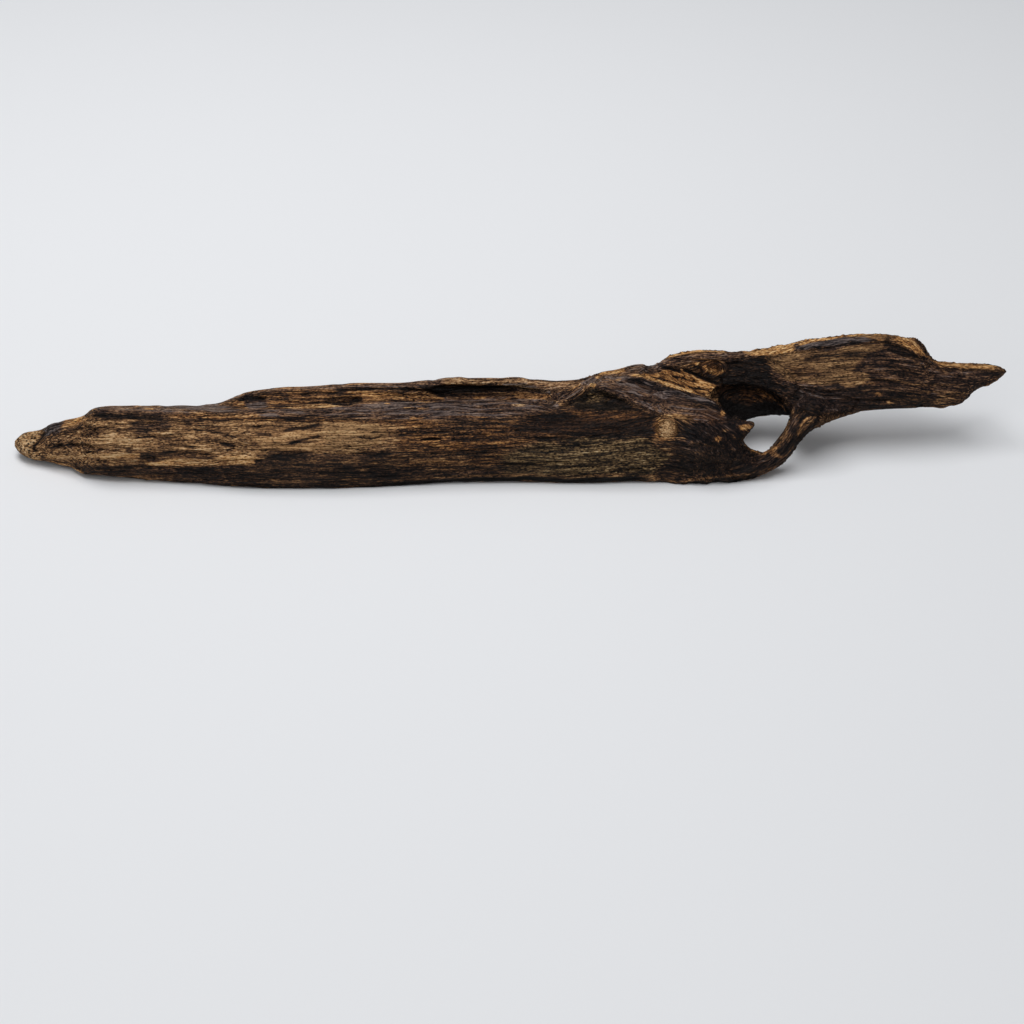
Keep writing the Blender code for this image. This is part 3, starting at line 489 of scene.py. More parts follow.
def joined(name, objects):
    """One object holding all the skins, still overlapping."""
    bm = bmesh.new()
    for obj in objects:
        bm.from_mesh(obj.data)
        bpy.data.objects.remove(obj, do_unlink=True)
    return finish(name, bm)


def one_skin(obj, width):
    """The same shape in even facets, longer along the grain than across."""
    coords = get_points(obj.data)
    coords[:, 0] /= STRETCH
    set_points(obj.data, coords)
    remesh = obj.modifiers.new("one_skin", "REMESH")
    remesh.mode = "VOXEL"
    remesh.voxel_size = width
    remesh.adaptivity = 0.0
    obj = as_mesh(obj, obj.name)
    coords = get_points(obj.data)
    coords[:, 0] *= STRETCH
    set_points(obj.data, coords)
    return obj


def get_points(mesh):
    flat = np.empty(len(mesh.vertices) * 3, np.float32)
    mesh.vertices.foreach_get("co", flat)
    return flat.reshape(-1, 3).astype(float)


def set_points(mesh, coords):
    mesh.vertices.foreach_set("co", np.asarray(coords, np.float32).ravel())
    mesh.update()


def get_normals(mesh):
    flat = np.empty(len(mesh.vertices) * 3, np.float32)
    mesh.vertex_normals.foreach_get("vector", flat)
    return flat.reshape(-1, 3).astype(float)


def cut(obj, tool, operation):
    step = obj.modifiers.new("cut", "BOOLEAN")
    step.operation = operation
    step.object = tool
    step.solver = "EXACT"
    made = as_mesh(obj, obj.name)
    bpy.data.objects.remove(tool, do_unlink=True)
    return made


class Web:
    """Which points of a mesh are joined by an edge, for spreading values about."""

    def __init__(self, mesh):
        ends = np.empty(len(mesh.edges) * 2, np.int32)
        mesh.edges.foreach_get("vertices", ends)
        self.a, self.b = ends.reshape(-1, 2).T
        self.n = len(mesh.vertices)
        self.count = np.maximum(
            np.bincount(self.a, minlength=self.n) + np.bincount(self.b, minlength=self.n), 1
        )

    def spread(self, values, times=1, share=0.5):
        """Values, each drawn towards the mean of its neighbours."""
        values = np.array(values, float)
        flat = values.reshape(self.n, -1)
        for _ in range(times):
            for k in range(flat.shape[1]):
                col = flat[:, k]
                total = np.bincount(self.a, col[self.b], self.n)
                total += np.bincount(self.b, col[self.a], self.n)
                flat[:, k] = col + share * (total / self.count - col)
        return flat.reshape(values.shape)


def base_body():
    """The whole grown piece, still smooth, in fine even facets."""
    body = joined(
        "body",
        [
            loft("long_body", TRUNK, TRUNK_TIPS, TRUNK_TOP, TRUNK_BOTTOM),
            loft("front_limb", LIMB, LIMB_TIPS, LIMB_TOP, LIMB_BOTTOM),
            round_member("strut", STRUT),
            round_member("flare", FLARE),
            round_member("spur", SPUR),
        ],
    )
    body = one_skin(body, FIRST_GRAIN)
    body = cut(body, round_member("hollow", HOLLOW), "DIFFERENCE")
    body = one_skin(body, FIRST_GRAIN)
    web = Web(body.data)
    set_points(body.data, web.spread(get_points(body.data), 6))
    body = one_skin(body, GRAIN)
    web = Web(body.data)
    set_points(body.data, web.spread(get_points(body.data), 3))
    return body, web


# ---------------------------------------------------------------- soft noise
def lattice(ix, iy, iz, seed):
    h = (ix * 374761393 + iy * 668265263 + iz * 1440662683 + seed * 69069069) & 0xFFFFFFFF
    h = ((h ^ (h >> 13)) * 1274126177) & 0xFFFFFFFF
    return h ^ (h >> 16)


def noise(p, seed=0):
    """Smooth gradient noise at the points, about -1 to 1."""
    cell = np.floor(p).astype(np.int64)
    f = p - cell
    u = f * f * f * (f * (f * 6 - 15) + 10)
    total = np.zeros(len(p))
    for i in (0, 1):
        wx = u[:, 0] if i else 1 - u[:, 0]
        for j in (0, 1):
            wy = u[:, 1] if j else 1 - u[:, 1]
            for k in (0, 1):
                wz = u[:, 2] if k else 1 - u[:, 2]
                h = lattice(cell[:, 0] + i, cell[:, 1] + j, cell[:, 2] + k, seed)
                g = ((h & 1023) / 511.5 - 1) * (f[:, 0] - i)
                g += (((h >> 10) & 1023) / 511.5 - 1) * (f[:, 1] - j)
                g += (((h >> 20) & 1023) / 511.5 - 1) * (f[:, 2] - k)
                total += g * wx * wy * wz
    return np.clip(total * 1.9, -1, 1)


def streaks(grain, length, width, seed=0, octaves=1):
    """Noise drawn out along the grain: features this long and this wide (mm)."""
    total, share = np.zeros(len(grain)), 0.0
    for k in range(octaves):
        scale = 2.0**k
        spot = grain * (scale / length, scale / width, scale / width)
        total += noise(spot, seed + 17 * k) / scale**0.8
        share += 1 / scale**0.8
    return total / share


def ramp(low, high, values):
    """0 below low, 1 above high, smooth between."""
    t = np.clip((values - low) / (high - low), 0, 1)
    return t * t * (3 - 2 * t)


# ---------------------------------------------------------------- marks on the front
def along(points, across, down):
    """How far each spot lies from the open line through points, and where along."""
    best = np.full(len(across), 1e9)
    where = np.zeros(len(across))
    points = np.asarray(points, float)
    runs = np.linalg.norm(np.diff(points, axis=0), axis=1)
    total, done = max(runs.sum(), 1e-9), 0.0
    for (x0, y0), (x1, y1), run in zip(points, points[1:], runs):
        t = ((across - x0) * (x1 - x0) + (down - y0) * (y1 - y0)) / max(run * run, 1e-9)
        t = np.clip(t, 0, 1)
        gap = np.hypot(across - x0 - t * (x1 - x0), down - y0 - t * (y1 - y0))
        near = gap < best
        best = np.where(near, gap, best)
        where = np.where(near, (done + t * run) / total, where)
        done += run
    return best, where


def beside(points, across, down):
    """Place along the open line through points, and the signed distance from it."""
    points = np.asarray(points, float)
    best = np.full(len(across), 1e9)
    place, side = np.zeros(len(across)), np.zeros(len(across))
    done = 0.0
    for k, ((x0, y0), (x1, y1)) in enumerate(zip(points, points[1:])):
        run = max(np.hypot(x1 - x0, y1 - y0), 1e-9)
        t = ((across - x0) * (x1 - x0) + (down - y0) * (y1 - y0)) / (run * run)
        t = np.clip(t, 0.0 if k else -9.0, 1.0 if k < len(points) - 2 else 9.0)
        gap = np.hypot(across - x0 - t * (x1 - x0), down - y0 - t * (y1 - y0))
        left = (x1 - x0) * (down - y0) - (y1 - y0) * (across - x0)
        near = gap < best
        best = np.where(near, gap, best)
        place = np.where(near, done + t * run, place)
        side = np.where(near, np.sign(left) * gap, side)
        done += run
    return place, side


def inside(points, across, down):
    """Signed distance to the closed outline through points, positive inside."""
    points = np.asarray(points, float)
    best = np.full(len(across), 1e9)
    odd = np.zeros(len(across), bool)
    for (x0, y0), (x1, y1) in zip(points, np.roll(points, -1, 0)):
        run = max(np.hypot(x1 - x0, y1 - y0), 1e-9)
        t = ((across - x0) * (x1 - x0) + (down - y0) * (y1 - y0)) / (run * run)
        t = np.clip(t, 0, 1)
        best = np.minimum(best, np.hypot(across - x0 - t * (x1 - x0), down - y0 - t * (y1 - y0)))
        cross = (y0 > down) != (y1 > down)
        odd ^= cross & (across < (x1 - x0) * (down - y0) / np.where(y1 == y0, 1e-9, y1 - y0) + x0)
    return np.where(odd, best, -best)


class View:
    """Points as they are seen from the front, with what faces that way."""

    def __init__(self, points, normals):
        self.p = points
        self.across, self.down = seen_at(*points.T)
        sight = np.stack([-points[:, 0], EYE_Y - points[:, 1], EYE_Z - points[:, 2]], 1)
        sight /= np.linalg.norm(sight, axis=1)[:, None]
        self.facing = (normals * sight).sum(1)
        self.front = ramp(-0.12, 0.22, self.facing)

    def stroke(self, points, width, ends=0.12, ragged=None, deep=None):
        """Weight of a soft line; ends gives the share of it that tapers off."""
        points = np.asarray(points, float)
        reach = 3.2 * np.max(width)
        low, high = points.min(0) - reach, points.max(0) + reach
        near = (self.across > low[0]) & (self.across < high[0])
        near &= (self.down > low[1]) & (self.down < high[1]) & (self.front > 0)
        if deep is not None:
            near &= (self.p[:, 1] > deep[0]) & (self.p[:, 1] < deep[1])
        weight = np.zeros(len(self.across))
        if not near.any():
            return weight
        across, down = self.across[near], self.down[near]
        if ragged is not None:
            down = down + ragged[near] * np.max(width)
        gap, where = along(points, across, down)
        width = np.interp(where, np.linspace(0, 1, np.size(width)), np.atleast_1d(width))
        taper = ramp(0, ends, where) * ramp(0, ends, 1 - where) if ends else 1.0
        weight[near] = np.exp(-((gap / width) ** 2)) * taper * self.front[near]
        return weight

    def patch(self, points, soft, ragged=None, deep=None):
        """Weight of the area inside a closed outline, soft this far to each side."""
        points = np.asarray(points, float)
        low, high = points.min(0) - 2 * soft - 4, points.max(0) + 2 * soft + 4
        near = (self.across > low[0]) & (self.across < high[0])
        near &= (self.down > low[1]) & (self.down < high[1]) & (self.front > 0)
        if deep is not None:
            near &= (self.p[:, 1] > deep[0]) & (self.p[:, 1] < deep[1])
        weight = np.zeros(len(self.across))
        if not near.any():
            return weight
        depth = inside(points, self.across[near], self.down[near])
        if ragged is not None:
            depth = depth + ragged[near] * soft * 1.6
        weight[near] = ramp(-soft, soft, depth) * self.front[near]
        return weight

    def oval(self, across, down, wide, high, turn=0.0, soft=0.35, ragged=None):
        """Weight of an oval spot."""
        x, y = self.across - across, self.down - down
        if ragged is not None:
            y = y + ragged * high * 0.5
        c, s = cos(radians(turn)), sin(radians(turn))
        r = np.hypot((x * c + y * s) / wide, (y * c - x * s) / high)
        return ramp(1 + soft, 1 - soft, r) * self.front


# ---------------------------------------------------------------- the grain's run
# Knots that the grain bends round: (across, down, radius in mm).
KNOTS = ((667, 429, 2.5), (714, 368.5, 1.2))
# Knots on the far side: (x, height, radius in mm).
FAR_KNOTS = ((-88.0, 11.0, 2.6), (-12.0, 9.0, 2.0), (34.0, 15.0, 3.2), (101.0, 24.0, 2.4))


# Where the grain is seen to run another way: (outline, softness, line it follows).
TURNED = (
    (((638, 374), (651, 365), (664, 364), (684, 368), (706, 378), (724, 385), (716, 398), (694, 396), (662, 386)),
     1.6, ((640, 370), (665, 377), (700, 389), (722, 396))),
    (((590, 386), (606, 376), (640, 376), (664, 386), (700, 396), (724, 408), (730, 420), (700, 422),
      (660, 416), (630, 402), (606, 392)), 2.4,
     ((585, 379), (605, 384), (630, 390.6), (655, 398.6), (680, 405), (705, 409), (726, 418))),
    (((550, 407), (562, 396), (576, 386), (584, 378), (598, 371), (600, 378), (590, 388), (578, 398), (566, 406)),
     2.0, ((550, 405), (566, 398), (578, 390), (587, 381), (600, 374))),
    (((718, 386), (735, 386), (762, 392), (784, 403), (790, 420), (728, 420), (718, 402)), 1.5,
     ((718, 408), (728, 398), (742, 392.6), (756, 393), (770, 398), (790, 409))),
    (((643, 371), (668, 353), (690, 348), (750, 346), (800, 337), (850, 331), (900, 332), (900, 342),
      (850, 345), (800, 352), (750, 360), (700, 362), (668, 367)), 1.6,
     ((646, 371), (658, 363), (668, 358.6), (690, 355), (726, 354), (760, 353), (800, 345), (850, 338), (900, 337))),
    (((888, 332), (915, 337), (930, 351), (945, 359), (1006, 363), (1006, 371), (940, 369), (924, 361),
      (905, 348), (888, 343)), 1.6,
     ((886, 336), (900, 338), (913, 344), (923, 352), (932, 360), (945, 365), (1006, 368))),
    (((742, 447), (764, 455), (778, 446), (786, 430), (794, 414), (814, 411), (819, 420), (801, 440),
      (790, 459), (768, 475), (736, 480), (728, 468)), 2.0,
     ((720, 474), (745, 468), (766, 459), (781, 446), (791, 432), (801, 419), (814, 410))),
    (((776, 388), (800, 386), (830, 392), (858, 400), (850, 412), (826, 415), (812, 416), (800, 408), (788, 404)), 2.4,
     ((770, 392), (790, 395), (806, 399), (824, 404), (860, 404))),
    (((722, 362), (745, 357), (768, 357), (790, 372), (800, 388), (784, 402), (762, 392), (735, 386), (722, 384)), 2.4,
     ((716, 372), (735, 370), (760, 371), (800, 379))),
    (((700, 364), (712, 359), (726, 362), (730, 374), (714, 380), (702, 376)), 1.6,
     ((700, 371), (706, 365), (714, 362.4), (722, 366), (723, 373), (714, 378))),
)


def core_line(stations, tips):
    """The middle of a member, as (depth, height) along X."""
    rails = rails_of(stations, tips)
    first = max(rail.x[0] for rail in rails)
    last = min(rail.x[-1] for rail in rails)
    places = np.linspace(first, last, 60)
    middle = np.mean([rail(places) for rail in rails], 0)
    kernel = np.ones(5) / 5
    padded = np.pad(middle, ((2, 2), (0, 0)), mode="edge")
    middle = np.stack([np.convolve(padded[:, k], kernel, "valid") for k in (0, 1)], 1)
    return Line(np.column_stack([places, middle]))


def grain_of(points, view):
    """Wood coordinates in mm: along the grain, and two ways across it.

    Returned twice, for the relief, where one run of grain eases into the next,
    and for the fine figure, where it changes along a ragged edge.
    """
    x, y, z = points.T
    long_core = core_line(TRUNK, TRUNK_TIPS)(x)
    limb_core = core_line(LIMB, LIMB_TIPS)(x)
    line = np.interp(x, *np.array(FORK_LINE).T)
    share = ramp(44, 66, x) * ramp(1.5, -3.5, y - line)
    core = long_core + (limb_core - long_core) * share[:, None]
    wood = np.stack([x, y - core[:, 0], z - core[:, 1]], 1)
    figure = wood.copy()
    rag = 0.30 * streaks(wood, 5.0, 0.9, 501) + 0.20 * streaks(wood, 1.6, 0.5, 502)

    # up the strut the grain follows its middle line
    middle = middle_line(STRUT, 60)
    walk = np.linalg.norm(np.diff(middle[:, :3], axis=0), axis=1)
    walk = np.concatenate([[0], np.cumsum(walk)])
    near = np.where((x > 70) & (x < 98) & (y < 28))[0]
    gaps = np.linalg.norm(points[near, None, :] - middle[None, :, :3], axis=2)
    nearest = gaps.argmin(1)
    gap = gaps[np.arange(len(near)), nearest]
    tangent = np.gradient(middle[:, :3], axis=0)
    tangent /= np.linalg.norm(tangent, axis=1)[:, None]
    side = np.cross(tangent, (0.0, 1.0, 0.0))
    side /= np.linalg.norm(side, axis=1)[:, None]
    other = np.cross(tangent, side)
    off = points[near] - middle[nearest, :3]
    own = np.stack(
        [
            middle[0, 0] + walk[nearest],
            (off * other[nearest]).sum(1) + 40,
            (off * side[nearest]).sum(1) + 40,
        ],
        1,
    )
    weight = ramp(1.75, 1.2, gap / middle[nearest, 3]) * ramp(2, 7, walk[nearest])
    weight *= ramp(walk[-1], walk[-1] - 6, walk[nearest])
    wood[near] += (own - wood[near]) * weight[:, None]
    figure[near] = np.where((weight + rag[near] > 0.5)[:, None], own, figure[near])

    sight = np.hypot(y - EYE_Y, z - EYE_Z)
    for outline, soft, line in TURNED:
        weight = view.patch(outline, soft)
        place, side = beside(line, view.across, view.down)
        turned = np.stack([0.29 * place, 0.29 * side + 90, sight], 1)
        wood += (turned - wood) * weight[:, None]
        figure = np.where((weight + rag > 0.5)[:, None], turned, figure)

    rings = np.zeros(len(points))
    spots = []
    for across, down, radius in KNOTS:
        gap = np.hypot(view.across - across, view.down - down) + 1e3 * (view.facing < 0.1)
        spots.append((points[np.argmin(gap)], radius))
    for knot_x, height, radius in FAR_KNOTS:
        gap = np.hypot(x - knot_x, z - height) + 1e3 * (view.facing > -0.1)
        spots.append((points[np.argmin(gap)], radius))
    for spot, radius in spots:
        off = points - spot
        r = np.linalg.norm(off * (0.8, 1, 1), axis=1)
        push = radius**2 / (r**2 + 0.25 * radius**2)
        push *= ramp(5.5 * radius, 2.0 * radius, r)
        wood[:, 1:] -= off[:, 1:] * push[:, None]
        figure[:, 1:] -= off[:, 1:] * push[:, None]
        core_share = ramp(1.25 * radius, 0.8 * radius, r)
        end = off * (8.0, 1.0, 1.0) + 60
        wood += (end - wood) * core_share[:, None]
        figure = np.where((core_share + rag > 0.5)[:, None], end, figure)
        rings = np.maximum(rings, core_share)
    return wood, figure, rings


# ---------------------------------------------------------------- carving, front
# (points, half-width, depth in mm); a negative depth stands proud.
CARVED = (
    # left end: the crease round the pale lump, the pitted hollows
    (((44, 430.5), (40, 436.5), (35.8, 443), (32.6, 449), (37, 453.6)), (1.8, 1.4), 0.75),
    (((48, 436), (56, 434), (63, 434.5)), 1.6, 0.35),
    (((68, 431), (76, 426), (86, 427), (97, 432)), (2.6, 3.2, 2), 0.75),
    (((50, 448.5), (58, 445.5), (72, 445), (90, 446.5), (99, 449.5)), (1.7, 2.2, 1.4), 0.65),
    (((101, 449.5), (110, 450), (120, 451)), 1.9, 0.5),
    (((40, 455.8), (50, 456.5), (62, 457.5)), 1.1, 0.4),
    (((62, 466.5), (72, 469.5), (80, 473)), 1.2, 0.35),
    # along the front of the trunk
    (((90, 414.5), (112, 416), (140, 417.6), (172, 416.6)), 1.7, 0.35),
    (((136, 423.5), (150, 424.5), (168, 425.6)), (1.4, 2.2, 1), 0.3),
    (((140, 460), (160, 455.5), (185, 453), (219, 456)), (1.4, 2.4, 1.6), 0.42),
    (((209, 431), (222, 433.5), (234, 438)), 1.2, 0.3),
    (((221, 443), (229, 445.2), (235, 447.8)), 1.3, 0.38),
    (((255, 434), (264, 434.6), (273, 435.6)), 1.1, 0.3),
    (((282, 431), (294, 428.6), (306, 427.4)), 1.5, 0.4),
    (((287, 443.8), (300, 440.6), (312, 437.6), (323, 436)), 1.1, 0.35),
    (((256, 414.8), (280, 416.2), (311, 418)), 1.3, 0.25),
    (((262, 456.5), (290, 452.8), (320, 452), (350, 453.5), (380, 452)), (1.2, 1.8, 1.2), 0.3),
    (((358, 437), (364, 438.2), (371, 438.9), (377, 437.6), (384, 434)), 0.75, 0.4),
    (((420.5, 439.5), (431, 439.5), (442, 438.7)), (0.9, 1.15, 0.8), 1.1),
    (((451, 439.2), (456, 439.3)), 1.0, 0.7),
    (((412, 430), (426, 428.6), (436, 430)), 1.1, 0.25),
    (((560, 421), (585, 423.5), (610, 422)), 1.3, 0.25),
    (((613, 428), (640, 430.5), (652, 435)), 1.4, 0.3),
    (((545, 475), (570, 474), (600, 475.4), (630, 473.5)), 1.1, 0.3),
    # the valley behind the crest: hollow start, seam under the rim, oval pocket, undercut
    (((237, 400), (247, 397.8), (258, 397.6), (268, 400)), (1.4, 2.4, 1.6), 1.0),
    (((266, 399.8), (278, 399.6), (290, 399.4)), 1.0, 0.5),
    (((245, 404.5), (256, 403.4), (268, 405)), 1.6, 0.3),
    (((298, 394.8), (315, 393), (331, 393.4), (348, 391.6)), 1.2, 0.5),
    (((330, 391), (350, 390), (378, 388.8), (400, 388.8), (421, 390.6)), 1.3, 0.65),
    (((326, 400.5), (336, 401.4), (350, 401), (363, 398.4)), (2.6, 3.6, 2.6), 1.25),
    (((424, 390), (434, 393.6), (444, 396.8)), 1.5, 0.9),
    (((428, 388), (450, 387.6), (475, 388), (505, 388.8), (536, 391)), (1.4, 2.4, 2.3, 1.3), 1.3),
    (((540, 395), (552, 397.6), (560, 402)), 1.6, 0.4),
    # the hump: folds round a three-cornered recess
    (((567, 404.5), (574, 399.6), (583, 393), (590, 389.6)), (1.4, 2.2, 1.4), 0.9),
    (((580, 402), (592, 396), (604, 397.5), (614, 402.5)), (3.0, 4.6, 3.0), 1.1),
    (((593, 391), (606, 395), (618, 400), (632, 406)), (1.4, 2.2, 1.6), 0.7),
    (((586, 406.5), (602, 409), (622, 407.5), (640, 409.8)), 1.2, 0.35),
    (((622, 384), (640, 387), (655, 392)), 1.3, 0.4),
    (((603, 383), (618, 382.6), (634, 384.6)), 1.2, 0.3),
    (((633, 394), (650, 399), (664, 404)), 1.2, 0.3),
    # the torn orange wood behind the front limb's crest
    (((645, 372.5), (662, 374.5), (684, 381.5), (706, 390)), (4, 6, 5), 0.4),
    (((656, 371), (676, 376), (694, 382)), 0.7, 0.35),
    (((662, 380.6), (682, 386.4), (700, 391.6)), 0.6, 0.3),
    (((690, 379), (704, 383.6), (714, 386)), 0.7, 0.35),
    (((660, 366.5), (670, 368), (682, 371)), 1.4, 0.6),
    (((682, 368.5), (695, 374), (707, 379.6), (721, 384.5)), (1.2, 1.9, 1.6), 0.6),
    (((650, 375.8), (668, 380), (684, 385.6)), 0.85, 0.4),
    (((672, 373.8), (688, 378.4), (700, 381.6)), 0.9, 0.45),
    (((688, 385.6), (702, 388), (713, 388.8)), 0.9, 0.45),
    (((692, 391), (706, 395)), 1.0, 0.5),
    (((690, 361.5), (706, 360.6), (724, 362)), 1.2, 0.35),
    # upper limb
    (((726, 366), (742, 364), (760, 366)), 1.4, 0.3),
    (((736, 376), (752, 377.5), (768, 383)), 1.6, 0.35),
    (((757, 389.5), (765, 393), (774, 398.6)), 1.2, 0.5),
    (((754, 354.4), (780, 353.4), (800, 349.8), (836, 347.4)), 1.0, 0.35),
    (((806, 359.5), (813, 359), (820, 359.4)), 1.5, 0.3),
    (((786, 373.5), (806, 376.5), (828, 377)), 1.1, 0.25),
    (((800, 391), (824, 392.6), (850, 391)), 1.3, 0.35),
    (((846, 399), (870, 400.6), (900, 399.4), (930, 400)), 1.2, 0.35),
    (((893, 342), (905, 347.4), (915, 353), (927, 361)), 1.6, 0.45),
    (((919.5, 408.5), (921.3, 406.2), (921.8, 403.5)), 1.3, 1.0),
    (((935, 371), (955, 372), (984, 370.8)), 1.1, 0.3),
    (((925, 385), (945, 386.5), (966, 383.6)), 1.2, 0.35),
    (((905, 392), (930, 393.6), (950, 391)), 1.1, 0.3),
    # front limb and strut
    (((728, 419.6), (738, 421.6), (748, 422)), 1.0, 0.3),
    (((688, 443), (706, 447), (726, 447.4)), 1.6, 0.35),
    (((680, 462), (704, 464.5), (732, 462.6)), 1.4, 0.3),
    (((736, 463), (752, 461), (770, 461)), 1.2, 0.3),
    (((709, 434), (713, 440), (721, 444)), 1.2, 0.3),
    (((795, 445), (800, 436), (806, 427)), 1.0, 0.35),
    # ridges
    (((280, 407), (300, 406.2), (330, 405.8), (362, 404)), 1.3, -0.3),
    (((556, 404), (570, 397), (580, 390), (585.5, 382), (597, 375.4)), (2.2, 3.2, 2.6), -0.5),
    (((589, 386.6), (605, 389), (618, 394), (631, 400), (643, 405), (653, 411), (661, 415.6)), 3.2, -0.28),
    (((618, 380.5), (640, 380), (654, 385.6), (668, 391), (684, 394.6), (703, 399.2), (715, 404), (722, 410)), 2.5, -0.6),
    (((662, 417), (676, 415.4), (690, 418.8)), 1.7, -0.4),
    (((640, 418), (652, 424), (655, 434)), 1.6, -0.25),
    (((664, 480), (676, 482), (700, 479), (735, 474.4), (761, 471.8), (776, 467)), 1.6, -0.3),
    (((911, 337.5), (920, 343), (926, 350.6)), 1.8, -0.35),
    (((589, 386), (593.4, 386.4), (598, 387)), 1.7, -0.7),
    (((704, 366.4), (708, 371), (716, 373.6), (723, 370)), 1.3, -0.35),
    (((707, 364.6), (713, 362.6), (720, 365)), 1.1, 0.3),
    (((709, 367.4), (715, 370.6), (720, 368)), 0.8, 0.3),
    (((758, 394), (768, 397.6), (779, 402)), 1.2, -0.3),
    (((60, 465), (76, 468), (90, 474)), 1.2, -0.25),
    (((741, 448), (752, 452), (762, 454.5), (773, 451), (782, 442)), 1.2, -0.2),
)
# Cracks and gouges on the far side: (x and height along them, half-width, depth), in mm.
CARVED_BEHIND = (
    (((-128, 9), (-96, 10.5), (-60, 9.5), (-28, 11)), 0.75, 0.8),
    (((-20, 6.5), (14, 8), (42, 7.4)), 0.6, 0.6),
    (((-84, 14.6), (-52, 15.8), (-18, 16.4), (8, 18)), 0.9, 0.7),
    (((-6, 13.5), (22, 15), (52, 18), (74, 20.5)), 1.1, 0.85),
    (((30, 20.5), (52, 24), (78, 27.5), (104, 29.6)), 0.8, 0.6),
    (((58, 14), (80, 18), (112, 21), (128, 22)), 0.9, 0.75),
    (((-140, 6), (-118, 5), (-92, 4.6)), 0.8, 0.5),
    (((-66, 4), (-30, 3.4), (6, 3.8)), 0.9, 0.55),
    (((92, 26), (112, 26), (136, 23)), 0.6, 0.45),
    (((10, 3), (38, 4.6), (58, 7)), 0.9, 0.6),
)

# Where the outline seen from the front stands higher (+) or lower (-):
# (points along it, half-width, how much in mm).
OUTLINE = (
    (((50, 424), (64, 418.6), (76, 416.5), (86, 412.5), (93, 408.6)), 6, -0.64),
    (((156, 405.4), (172, 404.4), (184, 403.6), (194, 404), (208, 404.6)), 5, -0.6),
    (((436, 380.4), (448, 380.6), (458, 378.6), (468, 378)), 5, 0.45),
    (((502, 378), (516, 378.4), (530, 379)), 5, 0.4),
    (((642, 364), (651, 363.2), (660, 359.4), (670, 355)), 6, -0.7),
    (((720, 350), (734, 350.2), (746, 349.6), (758, 349)), 6, -0.65),
    (((768, 348.2), (776, 347.6), (784, 345.6)), 4, 0.5),
    (((798, 341), (808, 340.4), (818, 339.6)), 5, 0.25),
    (((904, 338), (914, 340.6), (921, 345), (928, 353.6), (936, 359.6)), 6, 0.95),
    (((80, 475), (92, 478.8), (104, 480.6), (120, 481.6), (136, 481.7), (150, 482.2)), 5, 1.55),
    (((930, 406.4), (942, 405), (954, 403), (964, 398), (968, 394.6), (975, 389.6)), 6, -0.9),
    (((982, 386), (992, 381.2), (1002, 375)), 4, -0.6),
)


def trued(points):
    """The points, moved up or down where the outline needs it."""
    across, down = seen_at(*points.T)
    rise = np.zeros(len(points))
    for path, width, up in OUTLINE:
        gap, where = along(path, across, down)
        taper = ramp(0, 0.25, where) * ramp(0, 0.25, 1 - where)
        rise += up * np.exp(-((gap / width) ** 2)) * taper
    out = points.copy()
    out[:, 2] += rise * ramp(-0.3, 0.8, points[:, 2])
    return out


def carve(view, wood, rings, grey):
    """How far the surface stands out (+) or in (-) at each point, in mm."""
    p = view.p
    rag = streaks(wood, 5.0, 1.6, 301)
    out = np.zeros(len(p))
    for points, width, depth in CARVED:
        out -= depth * view.stroke(points, width, ragged=rag * 0.35)
    behind = ramp(0.1, -0.2, view.facing) * ramp(0.4, 1.2, p[:, 2])
    for points, width, depth in CARVED_BEHIND:
        gap, where = along(points, p[:, 0], p[:, 2] + 0.5 * rag)
        taper = ramp(0, 0.2, where) * ramp(0, 0.2, 1 - where)
        out -= depth * np.exp(-((gap / width) ** 2)) * taper * behind

    # flutes, ribs and fibres that run with the grain
    calm = (1 - 0.3 * grey) * (1 - 0.7 * rings)
    flute = streaks(wood, 46, 3.6, 11)
    rib = 1 - 2 * np.abs(streaks(wood, 24, 1.35, 23))
    fibre = streaks(wood, 12, 0.72, 37)
    hair = streaks(wood, 6.5, 0.46, 41)
    out += calm * (0.42 * flute + 0.19 * rib + 0.14 * fibre + 0.075 * hair)
    gouge = ramp(0.30, 0.62, streaks(wood, 7.5, 1.15, 53))
    out -= 0.26 * gouge * calm
    split = ramp(0.075, 0.0, np.abs(streaks(wood, 60, 2.8, 61)))
    split *= ramp(0.05, 0.35, streaks(wood, 48, 9.0, 67))
    out -= 0.42 * split * calm
    return out


def pits(view, wood):
    """Small worm-eaten pits at the broken end and in the hollows beside it."""
    spots = noise(wood * (1 / 1.5, 1 / 0.95, 1 / 0.95), 71)
    lump = view.patch(LUMP, 2.0)
    holes = 0.32 * lump * ramp(0.18, 0.5, noise(wood * (1 / 0.85, 1 / 0.6, 1 / 0.6), 73))
    eaten = np.zeros(len(view.p))
    for points in EATEN:
        eaten = np.maximum(eaten, view.patch(points, 2.5))
    return -holes - 0.75 * eaten * ramp(0.05, 0.45, spots)


LUMP = (
    (11, 445), (18, 434), (30, 430.5), (43, 431), (38.5, 438), (35, 444), (32, 449.5),
    (36.7, 453.5), (44, 461), (33, 461), (21, 455), (13, 448.5),
)
EATEN = (
    ((64, 431), (74, 423.5), (84, 423), (95, 426.5), (102, 431), (98, 437), (84, 436.5), (70, 435)),
    ((47, 449), (55, 443), (75, 442.5), (98, 444.6), (120, 448), (120, 453), (95, 452.5), (60, 451)),
)

